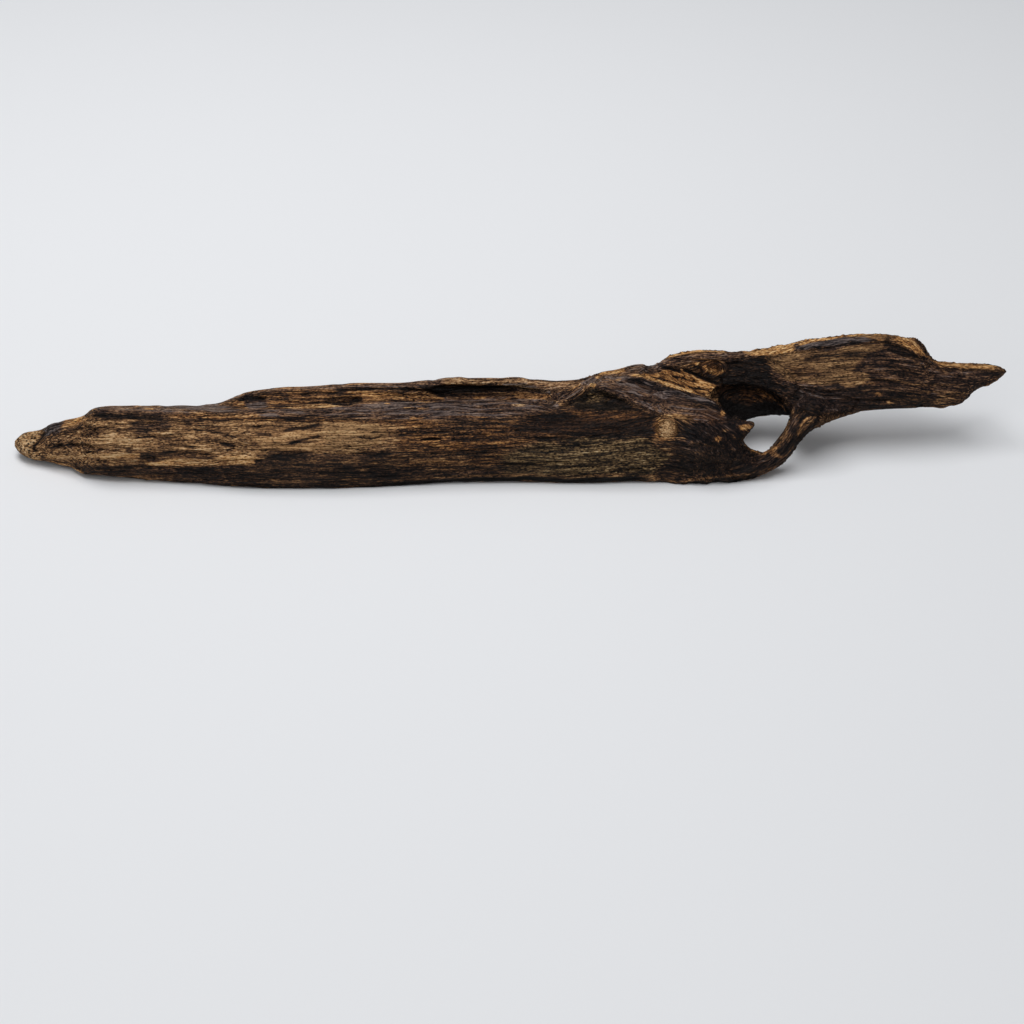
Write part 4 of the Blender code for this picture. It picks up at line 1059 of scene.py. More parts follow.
# ---------------------------------------------------------------- colour zones, front
# Targets are four weights, tan, warm, blackening and grey: how much pale wood shows in the dark, from
# olive through tan to orange, how blackened it is, by char and in places as painted
# shade, and how blue-grey it is, by wear and as a painted sheen of the overhead
# light. Areas: (outline, softness, strength, targets).
AREAS = (
    # trunk front, pale field
    (((60, 437), (88, 420), (130, 419), (200, 416), (262, 420), (330, 420), (380, 421), (404, 427),
      (402, 440), (386, 450), (345, 454), (300, 451), (268, 452), (255, 462), (222, 467), (160, 467),
      (110, 466), (66, 461), (40, 455), (36, 446)), 3.0, 1.0, (0.62, 0.45, 0.0, 0.05)),
    (((250, 438), (285, 433), (330, 431), (345, 440), (330, 449), (292, 450), (262, 447)), 3.0, 0.9, (1.0, 0.58, 0.0, 0.0)),
    (((322, 421), (372, 421), (388, 430), (384, 441), (360, 451), (322, 452)), 2.5, 0.9, (0.86, 0.3, 0.0, 0.0)),
    (((100, 430), (118, 432), (134, 441), (150, 447), (138, 459), (112, 456), (98, 444)), 3.0, 0.8, (0.84, 0.4, 0.0, 0.0)),
    (((178, 425), (214, 424), (256, 423), (276, 428), (272, 434), (230, 430), (190, 436), (176, 432)), 2.5, 0.7, (0.58, 0.6, 0.0, 0.0)),
    (((150, 456.5), (190, 456), (232, 455.5), (266, 456), (266, 463), (230, 466.5), (170, 467.5), (146, 466)), 2.4, 1.0, (1.0, 0.76, 0.0, 0.0)),
    (((126, 449), (150, 452), (184, 449.6), (222, 455), (214, 459.5), (180, 457.8), (150, 462), (128, 458)), 1.6, 0.9, (0.22, 0.45, 0.4, 0.0)),
    # blotches of dark resin
    (((132, 423), (143, 419.6), (152, 424), (150, 432), (146, 439), (136, 434)), 2.2, 0.75, (0.26, 0.4, 0.4, 0.25)),
    (((147, 421.5), (160, 420), (172, 423), (168, 430), (152, 429)), 2.0, 0.8, (0.3, 0.4, 0.45, 0.25)),
    (((184, 418.5), (206, 420), (208, 426), (196, 428.5), (184, 426)), 2.0, 0.6, (0.3, 0.55, 0.25, 0.0)),
    (((96, 447.6), (108, 447), (121, 450.5), (112, 453.6), (99, 452.6)), 1.2, 0.8, (0.2, 0.3, 0.6, 0.0)),
    (((144, 414.6), (172, 413.6), (178, 417.5), (160, 420), (146, 418.6)), 1.4, 0.8, (0.2, 0.3, 0.6, 0.15)),
    # dark foot of the trunk
    (((73, 467.5), (120, 466.5), (180, 466.8), (262, 465.6), (268, 487), (235, 488), (180, 483), (120, 480.5), (84, 477)), 1.6, 1.0, (0.22, 0.5, 0.46, 0.22)),
    (((256, 461), (272, 452.6), (300, 452), (340, 455.6), (384, 452.4), (404, 461), (402, 485), (330, 490), (262, 490)), 2.0, 1.0, (0.19, 0.42, 0.4, 0.16)),
    (((340, 457), (370, 456), (398, 458), (396, 468), (356, 470)), 2.5, 0.6, (0.42, 0.45, 0.1, 0.0)),
    # brown middle
    (((396, 430), (420, 421), (470, 419), (520, 417), (560, 416), (570, 430), (540, 441), (520, 450),
      (505, 470), (470, 477), (400, 482), (398, 455)), 4.0, 1.0, (0.24, 0.72, 0.12, 0.0)),
    (((392, 456), (430, 452), (470, 455), (468, 466), (430, 470), (396, 468)), 3.0, 0.7, (0.38, 0.55, 0.05, 0.0)),
    (((455, 440), (480, 431), (505, 432), (512, 446), (490, 455), (462, 452)), 3.0, 0.5, (0.2, 0.9, 0.15, 0.0)),
    (((400, 468), (450, 468), (505, 465), (520, 474), (500, 478), (440, 481), (400, 484)), 2.0, 0.8, (0.18, 0.4, 0.25, 0.3)),
    # red-brown under the hump
    (((520, 416), (560, 410), (600, 410), (640, 410), (654, 418), (656, 436), (640, 440), (590, 438), (540, 440), (516, 434)), 3.0, 1.0, (0.02, 0.7, 0.4, 0.0)),
    (((566, 411), (600, 411), (640, 413), (650, 420), (610, 420), (570, 418)), 2.0, 0.6, (0.22, 0.85, 0.1, 0.0)),
    # olive, finely dotted
    (((512, 449), (540, 441.5), (575, 440), (600, 436.5), (640, 436), (656, 441), (672, 453), (673, 466),
      (662, 475), (640, 477), (600, 478), (560, 479.5), (530, 477), (505, 474), (500, 460)), 3.4, 1.0, (0.45, 0.08, 0.0, 0.0)),
    (((560, 447), (600, 441), (640, 442), (662, 453), (660, 466), (600, 468), (560, 462)), 3.0, 0.7, (0.56, 0.1, 0.0, 0.0)),
    (((497, 461), (520, 463), (540, 468), (536, 476), (506, 477)), 2.0, 0.6, (0.22, 0.2, 0.3, 0.0)),
    # the crest, blue-grey from wear and a painted sheen
    (((97, 408.6), (150, 407.5), (210, 406.4), (240, 409), (280, 409), (330, 407), (362, 403.5), (400, 400.5),
      (450, 398), (505, 396), (540, 398.6), (558, 402), (560, 410), (520, 416), (470, 419.5), (420, 420),
      (370, 418), (330, 416.4), (280, 414.2), (205, 412.4), (150, 412.6), (98, 412.4)), 2.0, 1.0, (0.42, 0.55, 0.0, 0.62)),
    (((190, 412.6), (250, 413.2), (296, 415), (332, 417.6), (330, 421.4), (262, 420.8), (196, 418)), 1.3, 0.75, (0.66, 0.7, 0.0, 0.1)),
    (((380, 401), (450, 399), (470, 404), (460, 414), (420, 417), (384, 414)), 2.8, 0.7, (0.34, 0.45, 0.0, 0.85)),
    (((470, 404), (520, 399), (552, 402), (548, 410), (508, 414), (478, 414)), 2.4, 0.6, (0.3, 0.4, 0.05, 0.5)),
    # far wall of the valley
    (((230, 404), (246, 396), (272, 392), (310, 390), (345, 388), (390, 392), (442, 395.6), (444, 401),
      (400, 400.5), (362, 403), (330, 406.4), (280, 408), (236, 407.6)), 1.4, 1.0, (0.46, 0.76, 0.08, 0.14)),
    (((364, 392), (390, 391.6), (424, 393), (440, 397), (424, 400.6), (388, 400), (366, 399)), 1.6, 0.9, (0.6, 0.72, 0.0, 0.0)),
    (((244, 399), (258, 400), (268, 402), (266, 407), (248, 407)), 1.5, 0.8, (0.25, 0.3, 0.15, 0.6)),
    (((322, 399), (334, 394.5), (352, 394.5), (364, 396.5), (358, 402), (340, 405), (326, 404)), 1.4, 0.9, (0.3, 0.6, 0.35, 0.0)),
    # its rim
    (((214, 405), (234, 397), (262, 389), (300, 386), (345, 383.6), (400, 382), (424, 380.6), (448, 378),
      (462, 377), (522, 377.4), (530, 383), (470, 384), (440, 385), (420, 387), (380, 387.6), (340, 388.6),
      (300, 390), (262, 392.6), (240, 398), (222, 405)), 1.0, 1.0, (0.52, 0.5, 0.0, 0.45)),
    (((444, 379.4), (470, 378.4), (530, 378.8), (532, 383), (480, 384), (444, 384.6)), 1.0, 0.9, (0.86, 0.42, 0.0, 0.15)),
    (((270, 391), (300, 389.4), (320, 390.6), (300, 394.6), (274, 396)), 1.4, 0.6, (0.3, 0.7, 0.3, 0.0)),
    # the undercut, painted near black as shade, and the wood beside it
    (((421, 387), (440, 385.6), (470, 385.4), (505, 386), (530, 388), (538, 391.4), (516, 392.6), (480, 392.4),
      (456, 393.4), (444, 396.6), (436, 394)), 1.2, 1.0, (0.12, 0.5, 0.72, 0.0)),
    (((446, 394.5), (470, 393.4), (516, 393.4), (536, 394.6), (530, 399), (470, 399.4), (448, 400)), 1.4, 0.9, (0.3, 0.6, 0.1, 0.25)),
    (((512, 393.5), (530, 390.5), (548, 392.4), (556, 397), (540, 399.4), (516, 398.6)), 1.4, 0.9, (0.6, 0.8, 0.0, 0.1)),
    (((504, 383.6), (526, 384), (552, 388), (550, 394), (526, 391.6), (504, 388.4)), 1.2, 1.0, (0.66, 0.2, 0.0, 1.0)),
    (((528, 380), (552, 382), (574, 381.8), (584, 381), (578, 388), (556, 391), (536, 388)), 1.6, 0.9, (0.72, 0.6, 0.0, 0.3)),
    (((552, 391), (566, 390), (574, 394), (564, 400), (552, 398)), 2.0, 0.9, (0.34, 0.5, 0.1, 0.6)),
    # the hump
    (((584, 384), (592, 377), (615, 371), (640, 364), (652, 366), (654, 378), (664, 388), (672, 404),
      (664, 414), (640, 402), (620, 393), (604, 388)), 2.0, 1.0, (0.5, 0.5, 0.0, 0.65)),
    (((584, 382), (596, 376), (615, 372.6), (640, 367), (652, 374), (648, 382), (636, 386), (616, 385), (600, 385), (588, 386)), 1.6, 0.9, (0.78, 0.5, 0.0, 0.9)),
    (((612, 384), (634, 386), (656, 394), (676, 402), (684, 410), (660, 410), (640, 400), (618, 391)), 2.2, 0.8, (0.4, 0.45, 0.1, 0.55)),
    (((656, 397), (674, 396), (690, 401), (692, 405), (672, 404.6), (658, 402)), 1.5, 0.8, (0.24, 0.45, 0.15, 0.45)),
    (((657, 406.4), (676, 406), (700, 408.6), (716, 409), (722, 413), (700, 415.4), (676, 414.4), (660, 413)), 1.6, 0.9, (0.7, 0.4, 0.0, 0.9)),
    # the three-cornered recess, painted dark as shade
    (((568, 403), (580, 395.5), (591, 388), (604, 390.5), (617, 396), (632, 404), (628, 409), (600, 411), (578, 409)), 1.6, 1.0, (0.2, 0.15, 0.72, 0.0)),
    (((585, 398), (590, 393.6), (600, 393), (604, 396), (600, 401), (589, 403)), 1.1, 0.85, (0.56, 0.1, 0.0, 0.0)),
    # torn orange wood
    (((640, 374.5), (651, 367.4), (664, 366), (682, 369), (694, 373.6), (706, 379.6), (716, 385.6), (708, 396),
      (692, 392), (668, 384), (652, 378)), 1.2, 1.0, (0.68, 1.0, 0.0, 0.0)),
    (((654, 362), (666, 357.5), (686, 353), (712, 352.6), (744, 353), (760, 356), (744, 361), (718, 362),
      (696, 363), (676, 366), (660, 366)), 1.4, 1.0, (0.52, 0.6, 0.05, 0.6)),
    (((641, 367.4), (650, 365), (660, 364.6), (662, 371), (651, 374.4), (640, 373.6)), 1.4, 0.85, (0.32, 0.5, 0.0, 0.7)),
    (((690, 364), (712, 360.6), (726, 364), (728, 374), (712, 379), (698, 374)), 1.4, 0.9, (0.2, 0.8, 0.35, 0.0)),
    # dark shoulder, and the hollow under the upper limb painted near black as shade
    (((724, 361), (745, 357.5), (766, 356.6), (770, 370), (776, 384), (784, 396), (786, 410), (776, 404),
      (762, 394), (742, 388), (722, 385), (716, 380)), 2.4, 1.0, (0.06, 0.5, 0.66, 0.1)),
    (((716, 385), (735, 387), (762, 393), (782, 404), (788, 416), (760, 417), (728, 419), (720, 404)), 1.5, 1.0, (0.16, 0.75, 0.6, 0.0)),
    (((718, 398), (728, 400), (740, 405.6), (760, 403.6), (776, 401.6), (790, 406), (792, 420), (728, 422)), 1.6, 1.0, (0.0, 0.2, 1.0, 0.0)),
    # upper limb: orange rim, blue-grey streaks of wear and painted sheen, pale patch, black belly, brown end
    (((768, 362), (800, 350), (860, 343), (925, 352), (940, 366), (1004, 372), (985, 388), (965, 402),
      (905, 411), (860, 413), (810, 418), (790, 410), (776, 390)), 3.0, 1.0, (0.25, 0.58, 0.3, 0.3)),
    (((742, 350.6), (767, 348), (785, 344.6), (800, 340.4), (816, 337.6), (816, 341.5), (800, 346.6),
      (790, 352.6), (768, 355.6), (746, 355.4)), 1.1, 1.0, (1.0, 0.9, 0.0, 0.0)),
    (((795, 345), (820, 341.4), (838, 339.6), (866, 336.8), (872, 341), (838, 346.6), (804, 350), (794, 349)), 1.2, 1.0, (0.12, 0.3, 0.1, 0.95)),
    (((764.5, 357), (792, 352), (812.6, 349.4), (833, 350.5), (849, 346), (881, 344.6), (885, 348.6),
      (870, 353.4), (862, 358.5), (855.5, 366), (856, 371), (868.6, 374.2), (870.4, 379.4), (862, 384.4),
      (852.5, 388.2), (843, 387), (839.6, 382.6), (827, 385), (808, 382.6), (788.6, 381), (776, 373),
      (768, 363.5)), 1.1, 1.0, (0.56, 0.32, 0.0, 0.0)),
    (((831, 371), (852, 370), (866, 373.6), (870, 378.6), (862, 384.4), (852.5, 388.2), (843, 387), (838, 381)), 1.1, 0.9, (0.78, 0.35, 0.0, 0.0)),
    (((804, 357), (812, 356), (821, 358.4), (818, 361.6), (806, 361.4)), 1.0, 0.7, (0.3, 0.4, 0.3, 0.2)),
    (((788, 365), (812, 366), (824, 372), (812, 378), (796, 377), (786, 371)), 1.8, 0.6, (0.38, 0.5, 0.1, 0.0)),
    (((776, 384), (795, 386.5), (830, 388.6), (856, 391), (874, 396), (866, 408), (838, 413.5), (806, 414),
      (788, 406), (780, 394)), 3.0, 1.0, (0.2, 0.45, 0.42, 0.35)),
    (((866, 396), (900, 393), (935, 396), (930, 405), (900, 410), (866, 409)), 2.5, 0.8, (0.04, 0.4, 0.46, 0.25)),
    (((776, 386), (790, 384), (802, 390), (800, 400), (786, 402), (778, 396)), 2.5, 0.7, (0.02, 0.5, 0.55, 0.15)),
    (((893, 335.6), (903, 337.6), (912, 341.6), (920, 347), (926, 354), (922, 356), (912, 350), (902, 345), (893, 341)), 1.2, 1.0, (0.5, 0.85, 0.0, 0.05)),
    (((911, 337.6), (919, 342), (926, 349), (926, 353.4), (918, 347), (911, 342)), 0.9, 0.9, (0.15, 0.7, 0.5, 0.2)),
    (((886, 340.4), (896, 342.6), (905, 347.4), (914, 352.4), (922, 358), (917, 362), (904, 356.6), (886, 350)), 1.5, 0.85, (0.06, 0.5, 0.5, 0.1)),
    (((936, 362), (960, 363), (985, 364), (997, 366.6), (994, 370), (970, 368.8), (940, 367.4)), 0.9, 1.0, (0.76, 0.8, 0.0, 0.0)),
    (((936, 371), (970, 371), (1000, 371), (994, 380), (970, 390), (936, 392)), 2.5, 0.7, (0.24, 0.5, 0.25, 0.35)),
    (((940, 393), (966, 391), (968, 398), (950, 403), (930, 405)), 2.0, 0.7, (0.45, 0.3, 0.15, 0.0)),
    # front limb
    (((656, 474), (668, 462), (676, 452), (672, 444), (684, 438), (692, 424), (708, 414), (728, 418),
      (752, 420), (752, 434), (742, 446), (762, 455), (788, 452), (790, 464), (760, 476), (700, 484), (664, 486)), 3.0, 1.0, (0.14, 0.55, 0.42, 0.3)),
    (((688, 411), (704, 407), (722, 412), (728, 421), (712, 426), (694, 422)), 2.0, 0.8, (0.26, 0.8, 0.12, 0.5)),
    (((676, 446), (700, 442), (738, 446), (744, 460), (720, 472), (684, 476), (672, 462)), 3.0, 0.8, (0.16, 0.3, 0.55, 0.3)),
    (((696, 424), (740, 428), (744, 440), (734, 445), (700, 444), (690, 434)), 3.0, 0.8, (0.0, 0.4, 0.6, 0.25)),
    (((676, 424), (698, 424), (700, 436), (676, 437)), 2.5, 0.5, (0.04, 0.5, 0.5, 0.2)),
    (((739, 425.2), (748, 424.4), (752, 427), (747, 431), (741, 430.4)), 0.8, 1.0, (0.9, 0.95, 0.0, 0.0)),
    (((768, 452), (780, 451.6), (787, 454), (784, 458.4), (772, 456.6)), 1.0, 0.9, (0.55, 0.75, 0.0, 0.1)),
    # strut and where it meets the limb
    (((776, 452), (784, 440), (790, 428), (795, 410), (806, 404), (822, 408), (820, 420), (806, 434), (798, 446), (788, 458)), 2.0, 1.0, (0.12, 0.5, 0.52, 0.08)),
    (((795, 430), (798, 420), (805, 413), (816, 413), (820, 418), (812, 428), (802, 438), (796, 440)), 1.4, 0.55, (0.0, 0.4, 0.7, 0.0)),
    (((797, 437), (799, 428), (804, 420.4), (810, 416), (816, 416), (815, 421), (809, 427), (803, 434)), 0.8, 1.0, (0.42, 0.5, 0.08, 0.0)),
    (((790, 417), (796, 414), (799, 424), (793, 440), (786, 450), (780, 450), (787, 438)), 1.4, 0.9, (0.12, 0.4, 0.45, 0.3)),
    # left end
    (LUMP, 1.4, 1.0, (1.0, 0.42, 0.0, 0.0)),
    (((43.6, 431), (47, 426.4), (55, 422), (65, 418.4), (66, 423), (60, 427.4), (64, 430.6), (53, 434.6), (43.5, 435.6)), 1.2, 1.0, (0.2, 0.3, 0.15, 0.85)),
    (((60, 425.6), (66, 419), (84, 416), (90, 419), (80, 424), (68, 429.4), (60, 429.4)), 1.2, 1.0, (0.68, 0.8, 0.0, 0.2)),
    (EATEN[0], 1.8, 1.0, (0.5, 0.45, 0.35, 0.05)),
    (EATEN[1], 1.6, 0.9, (0.76, 0.6, 0.18, 0.2)),
    (((38, 452.6), (60, 454.6), (100, 453), (140, 453), (140, 458), (100, 460.5), (70, 460), (46, 458)), 1.2, 0.9, (0.95, 0.7, 0.0, 0.0)),
)
# Where the figure is quieter: (outline, softness, how much).
EVEN = (
    (((764.5, 357), (792, 352), (812.6, 349.4), (833, 350.5), (849, 346), (881, 344.6), (885, 348.6),
      (870, 353.4), (862, 358.5), (855.5, 366), (856, 371), (868.6, 374.2), (870.4, 379.4), (862, 384.4),
      (852.5, 388.2), (843, 387), (839.6, 382.6), (827, 385), (808, 382.6), (788.6, 381), (776, 373),
      (768, 363.5)), 2.0, 0.38),
    (((262, 424), (300, 430), (345, 421), (384, 423), (392, 434), (372, 448), (320, 450), (262, 452), (248, 444)), 3.0, 0.5),
    (((790, 388), (850, 392), (870, 396), (868, 411), (830, 416), (796, 408)), 3.0, 0.4),
    (((560, 414), (650, 414), (650, 434), (560, 436), (520, 430)), 3.0, 0.3),
    (((470, 384), (536, 386), (540, 398), (470, 400), (430, 398), (424, 386)), 2.0, 0.2),
    (((590, 384), (616, 375), (642, 370), (656, 384), (672, 398), (700, 405), (742, 416), (752, 422), (744, 428), (700, 424), (660, 413), (628, 397)), 3.0, 0.35),
    (((690, 424), (744, 428), (746, 444), (766, 457), (788, 456), (780, 468), (740, 474), (690, 474), (676, 456)), 3.0, 0.15),
)
# Lines: (points, half-width, strength, targets).
LINES = (
    (((97, 407.3), (130, 406.6), (180, 406), (214, 405.6)), 0.9, 0.9, (0.6, 0.85, 0.0, 0.1)),
    (((90, 414), (112, 416), (140, 417.6), (172, 416.6)), (1.6, 2.2, 1.6), 0.85, (0.1, 0.3, 0.6, 0.15)),
    (((120, 409.6), (138, 409), (150, 409.6)), 1.2, 0.8, (0.7, 0.8, 0.0, 0.0)),
    (((152, 415.5), (200, 417), (250, 419.5), (300, 419.8), (350, 421), (400, 422.4), (440, 421)), 1.6, 0.7, (0.3, 0.9, 0.1, 0.0)),
    (((256, 414.6), (280, 416.4), (311, 418.6)), 1.5, 0.8, (0.1, 0.3, 0.5, 0.4)),
    (((279, 407.6), (300, 406.6), (330, 406), (345, 405.4)), 1.0, 1.0, (1.0, 0.72, 0.0, 0.0)),
    (((209, 431), (222, 433.5), (234, 438)), 1.4, 0.8, (0.15, 0.45, 0.4, 0.0)),
    (((221, 443), (229, 445.2), (235, 447.8)), 1.6, 0.9, (0.08, 0.45, 0.6, 0.0)),
    (((255, 434), (264, 434.6), (273, 435.6)), 1.2, 0.8, (0.1, 0.3, 0.5, 0.0)),
    (((282, 431), (294, 428.6), (306, 427.4), (324, 423)), (1.8, 1.8, 1.0), 0.9, (0.06, 0.4, 0.6, 0.0)),
    (((287, 443.8), (300, 440.6), (312, 437.6), (323, 436)), 1.3, 0.85, (0.1, 0.5, 0.45, 0.0)),
    (((420.5, 439.5), (431, 439.5), (442, 438.7)), 0.9, 1.0, (0.0, 0.2, 1.0, 0.0)),
    (((421, 441.6), (431, 441.6), (442, 441)), 0.8, 0.8, (0.9, 0.8, 0.0, 0.0)),
    (((451, 439.2), (456, 439.3)), 0.9, 0.9, (0.0, 0.2, 0.9, 0.0)),
    (((358, 437), (364, 438.2), (371, 438.9), (377, 437.6), (384, 434)), 0.6, 0.8, (0.1, 0.4, 0.6, 0.0)),
    # painted shade: dark lines down the valley behind the crest and in the seam under its rim
    (((237, 400), (247, 397.8), (258, 397.6), (268, 400)), (1.6, 2.6, 1.6), 1.0, (0.05, 0.4, 0.9, 0.0)),
    (((266, 399.8), (278, 399.6), (290, 399.4)), 1.0, 0.8, (0.1, 0.4, 0.7, 0.0)),
    (((298, 394.8), (315, 393), (331, 393.4), (348, 391.6)), 1.3, 0.85, (0.1, 0.5, 0.7, 0.0)),
    (((330, 390.4), (350, 389.4), (378, 388.2), (400, 388.2), (424, 390.6)), 1.2, 0.9, (0.08, 0.4, 0.75, 0.0)),
    (((326, 403), (338, 404), (350, 402.6), (364, 398.6)), 1.2, 0.85, (0.05, 0.3, 0.85, 0.0)),
    (((558, 402), (570, 396), (580, 389.6), (585.5, 381.6), (597, 375.6)), 2.2, 0.8, (0.6, 0.4, 0.0, 0.8)),
    (((570, 391), (577, 387), (582, 384)), 1.2, 0.7, (0.8, 0.85, 0.0, 0.0)),
    (((597, 374.6), (615, 372.2), (628, 369.6)), 1.4, 0.9, (0.85, 0.9, 0.0, 0.0)),
    (((590, 387), (605, 389), (618, 394), (631, 400), (643, 405), (653, 411), (661, 415)), (1.4, 3.0, 3.4), 0.5, (0.25, 0.4, 0.1, 0.75)),
    (((604, 396), (617, 402.6), (632, 407.6), (648, 414)), 1.2, 0.7, (0.1, 0.7, 0.5, 0.0)),
    (((618, 381.6), (640, 381.6), (654, 387), (668, 392.4), (684, 396.4), (703, 401), (715, 406), (722, 411), (727, 418)), (2.2, 3.0, 3.0, 2.2), 0.9, (0.06, 0.3, 0.3, 0.62)),
    (((626, 374.8), (640.7, 375.9), (654, 379.6), (666, 383.6), (684, 390), (706, 396.6)), (1.4, 2.1, 1.9), 1.0, (1.0, 0.98, 0.0, 0.0)),
    (((660, 366.5), (670, 368), (682, 371)), 1.5, 0.95, (0.0, 0.4, 0.9, 0.0)),
    (((682, 368.5), (695, 374), (707, 379.6), (721, 384.5)), (1.4, 2.0, 1.8), 0.95, (0.02, 0.4, 0.85, 0.1)),
    (((650, 375.8), (668, 380), (684, 385.6)), 0.7, 0.75, (0.1, 0.6, 0.6, 0.0)),
    (((672, 373.8), (688, 378.4), (700, 381.6)), 0.8, 0.85, (0.05, 0.5, 0.7, 0.0)),
    (((688, 385.6), (702, 388), (713, 388.8)), 0.8, 0.85, (0.05, 0.5, 0.7, 0.0)),
    (((692, 391), (706, 395)), 0.9, 0.85, (0.0, 0.4, 0.9, 0.0)),
    (((652, 364.2), (659, 360.4), (667, 356.8), (684, 352), (701, 350.8), (726, 351.2), (750, 349.9)), 1.3, 1.0, (0.9, 0.85, 0.0, 0.0)),
    (((704, 365.6), (707, 370), (712, 373), (718, 374), (723, 371.4), (724.4, 368)), 1.3, 1.0, (0.8, 0.95, 0.0, 0.0)),
    (((708.6, 366.4), (713, 370), (719, 370.4)), 0.9, 0.9, (0.7, 0.9, 0.0, 0.0)),
    (((706, 363.6), (712, 361.4), (719, 362.4), (722.6, 365)), 0.8, 0.7, (0.5, 0.8, 0.0, 0.0)),
    (((700, 366), (703, 372), (710, 377), (718, 378)), 1.2, 0.7, (0.05, 0.5, 0.8, 0.0)),
    (((798, 341.6), (830, 337.8), (860, 334.9), (885, 334.8), (898, 336.6)), 1.3, 0.95, (0.85, 0.85, 0.0, 0.0)),
    (((898, 338.4), (913, 345), (923, 352.4), (930, 359.4), (938, 365.2)), (2.0, 1.9, 1.2, 1.0), 0.85, (0.62, 0.9, 0.0, 0.0)),
    (((896, 336.8), (906, 338.6), (914, 342.6), (920, 347.4)), 1.3, 0.9, (0.95, 0.8, 0.0, 0.1)),
    (((797.4, 437), (799.6, 428.4), (804, 421), (809, 416.8)), 0.9, 0.9, (0.9, 0.85, 0.0, 0.0)),
    (((756, 389.5), (765, 393), (774, 398.6)), 1.2, 0.8, (0.7, 0.9, 0.1, 0.0)),
    (((760, 393.6), (768, 397.4), (780, 403)), 1.1, 0.7, (0.6, 0.8, 0.1, 0.0)),
    (((777, 403), (783, 406.4), (786, 412)), 0.9, 0.8, (0.6, 0.95, 0.1, 0.0)),
    (((846, 399), (870, 400.6), (900, 399.4), (930, 400)), 1.2, 0.6, (0.1, 0.3, 0.6, 0.0)),
    (((664, 417), (676, 415.6), (689, 418.6)), (1.6, 1.9, 1.2), 0.95, (0.95, 0.62, 0.0, 0.0)),
    (((642, 440), (656, 446), (668, 454)), 1.4, 0.7, (0.1, 0.3, 0.6, 0.1)),
    (((652, 441), (660, 447), (672, 454)), 1.0, 0.6, (0.6, 0.85, 0.0, 0.0)),
    (((657, 474.6), (668, 479.6), (676, 481.4), (686, 480.8), (700, 478.4), (727, 475.4), (750, 473), (764, 470.6), (776, 466.4), (785, 460)), 1.0, 0.8, (0.5, 0.68, 0.0, 0.1)),
    # near-black strip along the front limb's lower edge: charred underside, and painted shade where it curves under
    (((666, 483), (680, 485.6), (700, 483.6), (727, 482.4), (750, 479), (764, 475)), 2.0, 1.0, (0.0, 0.2, 1.0, 0.0)),
    (((744, 446.5), (752, 451.6), (762, 454.4), (773, 450.6), (782, 441)), 1.2, 0.85, (0.5, 0.95, 0.0, 0.0)),
    (((22, 454), (33, 458.8), (49, 462.6), (62, 464.8), (76, 469.4), (86, 474)), 1.3, 0.95, (0.88, 0.72, 0.0, 0.0)),
    (((44, 430.6), (40, 436.6), (35.6, 443), (32.6, 449), (37, 453.6)), 1.1, 0.85, (0.1, 0.3, 0.7, 0.1)),
    # a short blue-grey line at the lower left end: a painted highlight
    (((86, 458.6), (94, 458.8), (101, 459.2)), 1.0, 0.7, (0.4, 0.3, 0.0, 0.7)),
    (((82, 471), (130, 472.6), (190, 473), (250, 470)), 1.4, 0.6, (0.08, 0.3, 0.7, 0.1)),
    (((100, 476), (150, 478), (200, 480), (240, 484)), 1.3, 0.6, (0.5, 0.55, 0.1, 0.1)),
    # near-black strip along the trunk's lower edge: charred underside, and painted shade where it curves under
    (((372, 486.6), (400, 483.8), (430, 481.8), (480, 479.2), (530, 478.8), (568, 481.4), (600, 479.6), (640, 478.4), (662, 481)), 2.1, 1.0, (0.0, 0.2, 1.0, 0.0)),
    (((400, 481), (430, 477.6), (480, 474.8), (530, 474.4), (568, 477), (600, 475.2), (640, 473.6)), 1.0, 0.7, (0.62, 0.45, 0.0, 0.0)),
    (((104, 408.6), (150, 408.8), (200, 408.6), (236, 410)), 2.6, 0.95, (1.0, 0.4, 0.0, 0.95)),
    (((49, 448.4), (56, 446.2), (64, 445.4), (73, 445.8)), 1.2, 0.85, (0.05, 0.3, 0.75, 0.1)),
    (((76, 449.4), (79, 449.2), (82, 449.6)), 1.2, 0.9, (0.95, 0.95, 0.0, 0.0)),
    (((61, 427), (68, 424.4), (76, 421.6), (84, 417.6)), 1.6, 0.7, (0.8, 0.95, 0.0, 0.0)),
    (((94, 408.4), (100, 406.4), (120, 405.8), (150, 405.4), (192, 405.4)), 0.8, 0.8, (0.8, 0.95, 0.0, 0.0)),
    (((143, 408.6), (148, 408.8), (154, 409.2)), 0.8, 0.9, (0.9, 0.95, 0.0, 0.0)),
    (((232, 398.2), (250, 391.8), (270, 388.8), (300, 387.2), (340, 384.6), (380, 383.4), (420, 381.4), (440, 379.4)), 0.7, 0.6, (0.55, 0.9, 0.0, 0.1)),
    (((401, 407.6), (412, 408), (427, 408.6)), 0.8, 0.85, (0.85, 0.8, 0.0, 0.0)),
    (((384, 403.4), (392, 403.8)), 0.7, 0.85, (0.85, 0.9, 0.0, 0.0)),
    (((408, 418), (424, 418.4)), 0.7, 0.8, (0.8, 0.9, 0.0, 0.0)),
    (((444, 417.4), (466, 417.8), (490, 417.6)), 0.7, 0.8, (0.75, 0.95, 0.0, 0.0)),
    (((494, 398.6), (503, 398.8), (514, 399.6)), 1.0, 0.75, (0.75, 0.95, 0.0, 0.0)),
    (((474, 397.8), (480, 397.4), (486, 397.8)), 0.9, 0.75, (0.75, 0.95, 0.0, 0.0)),
)
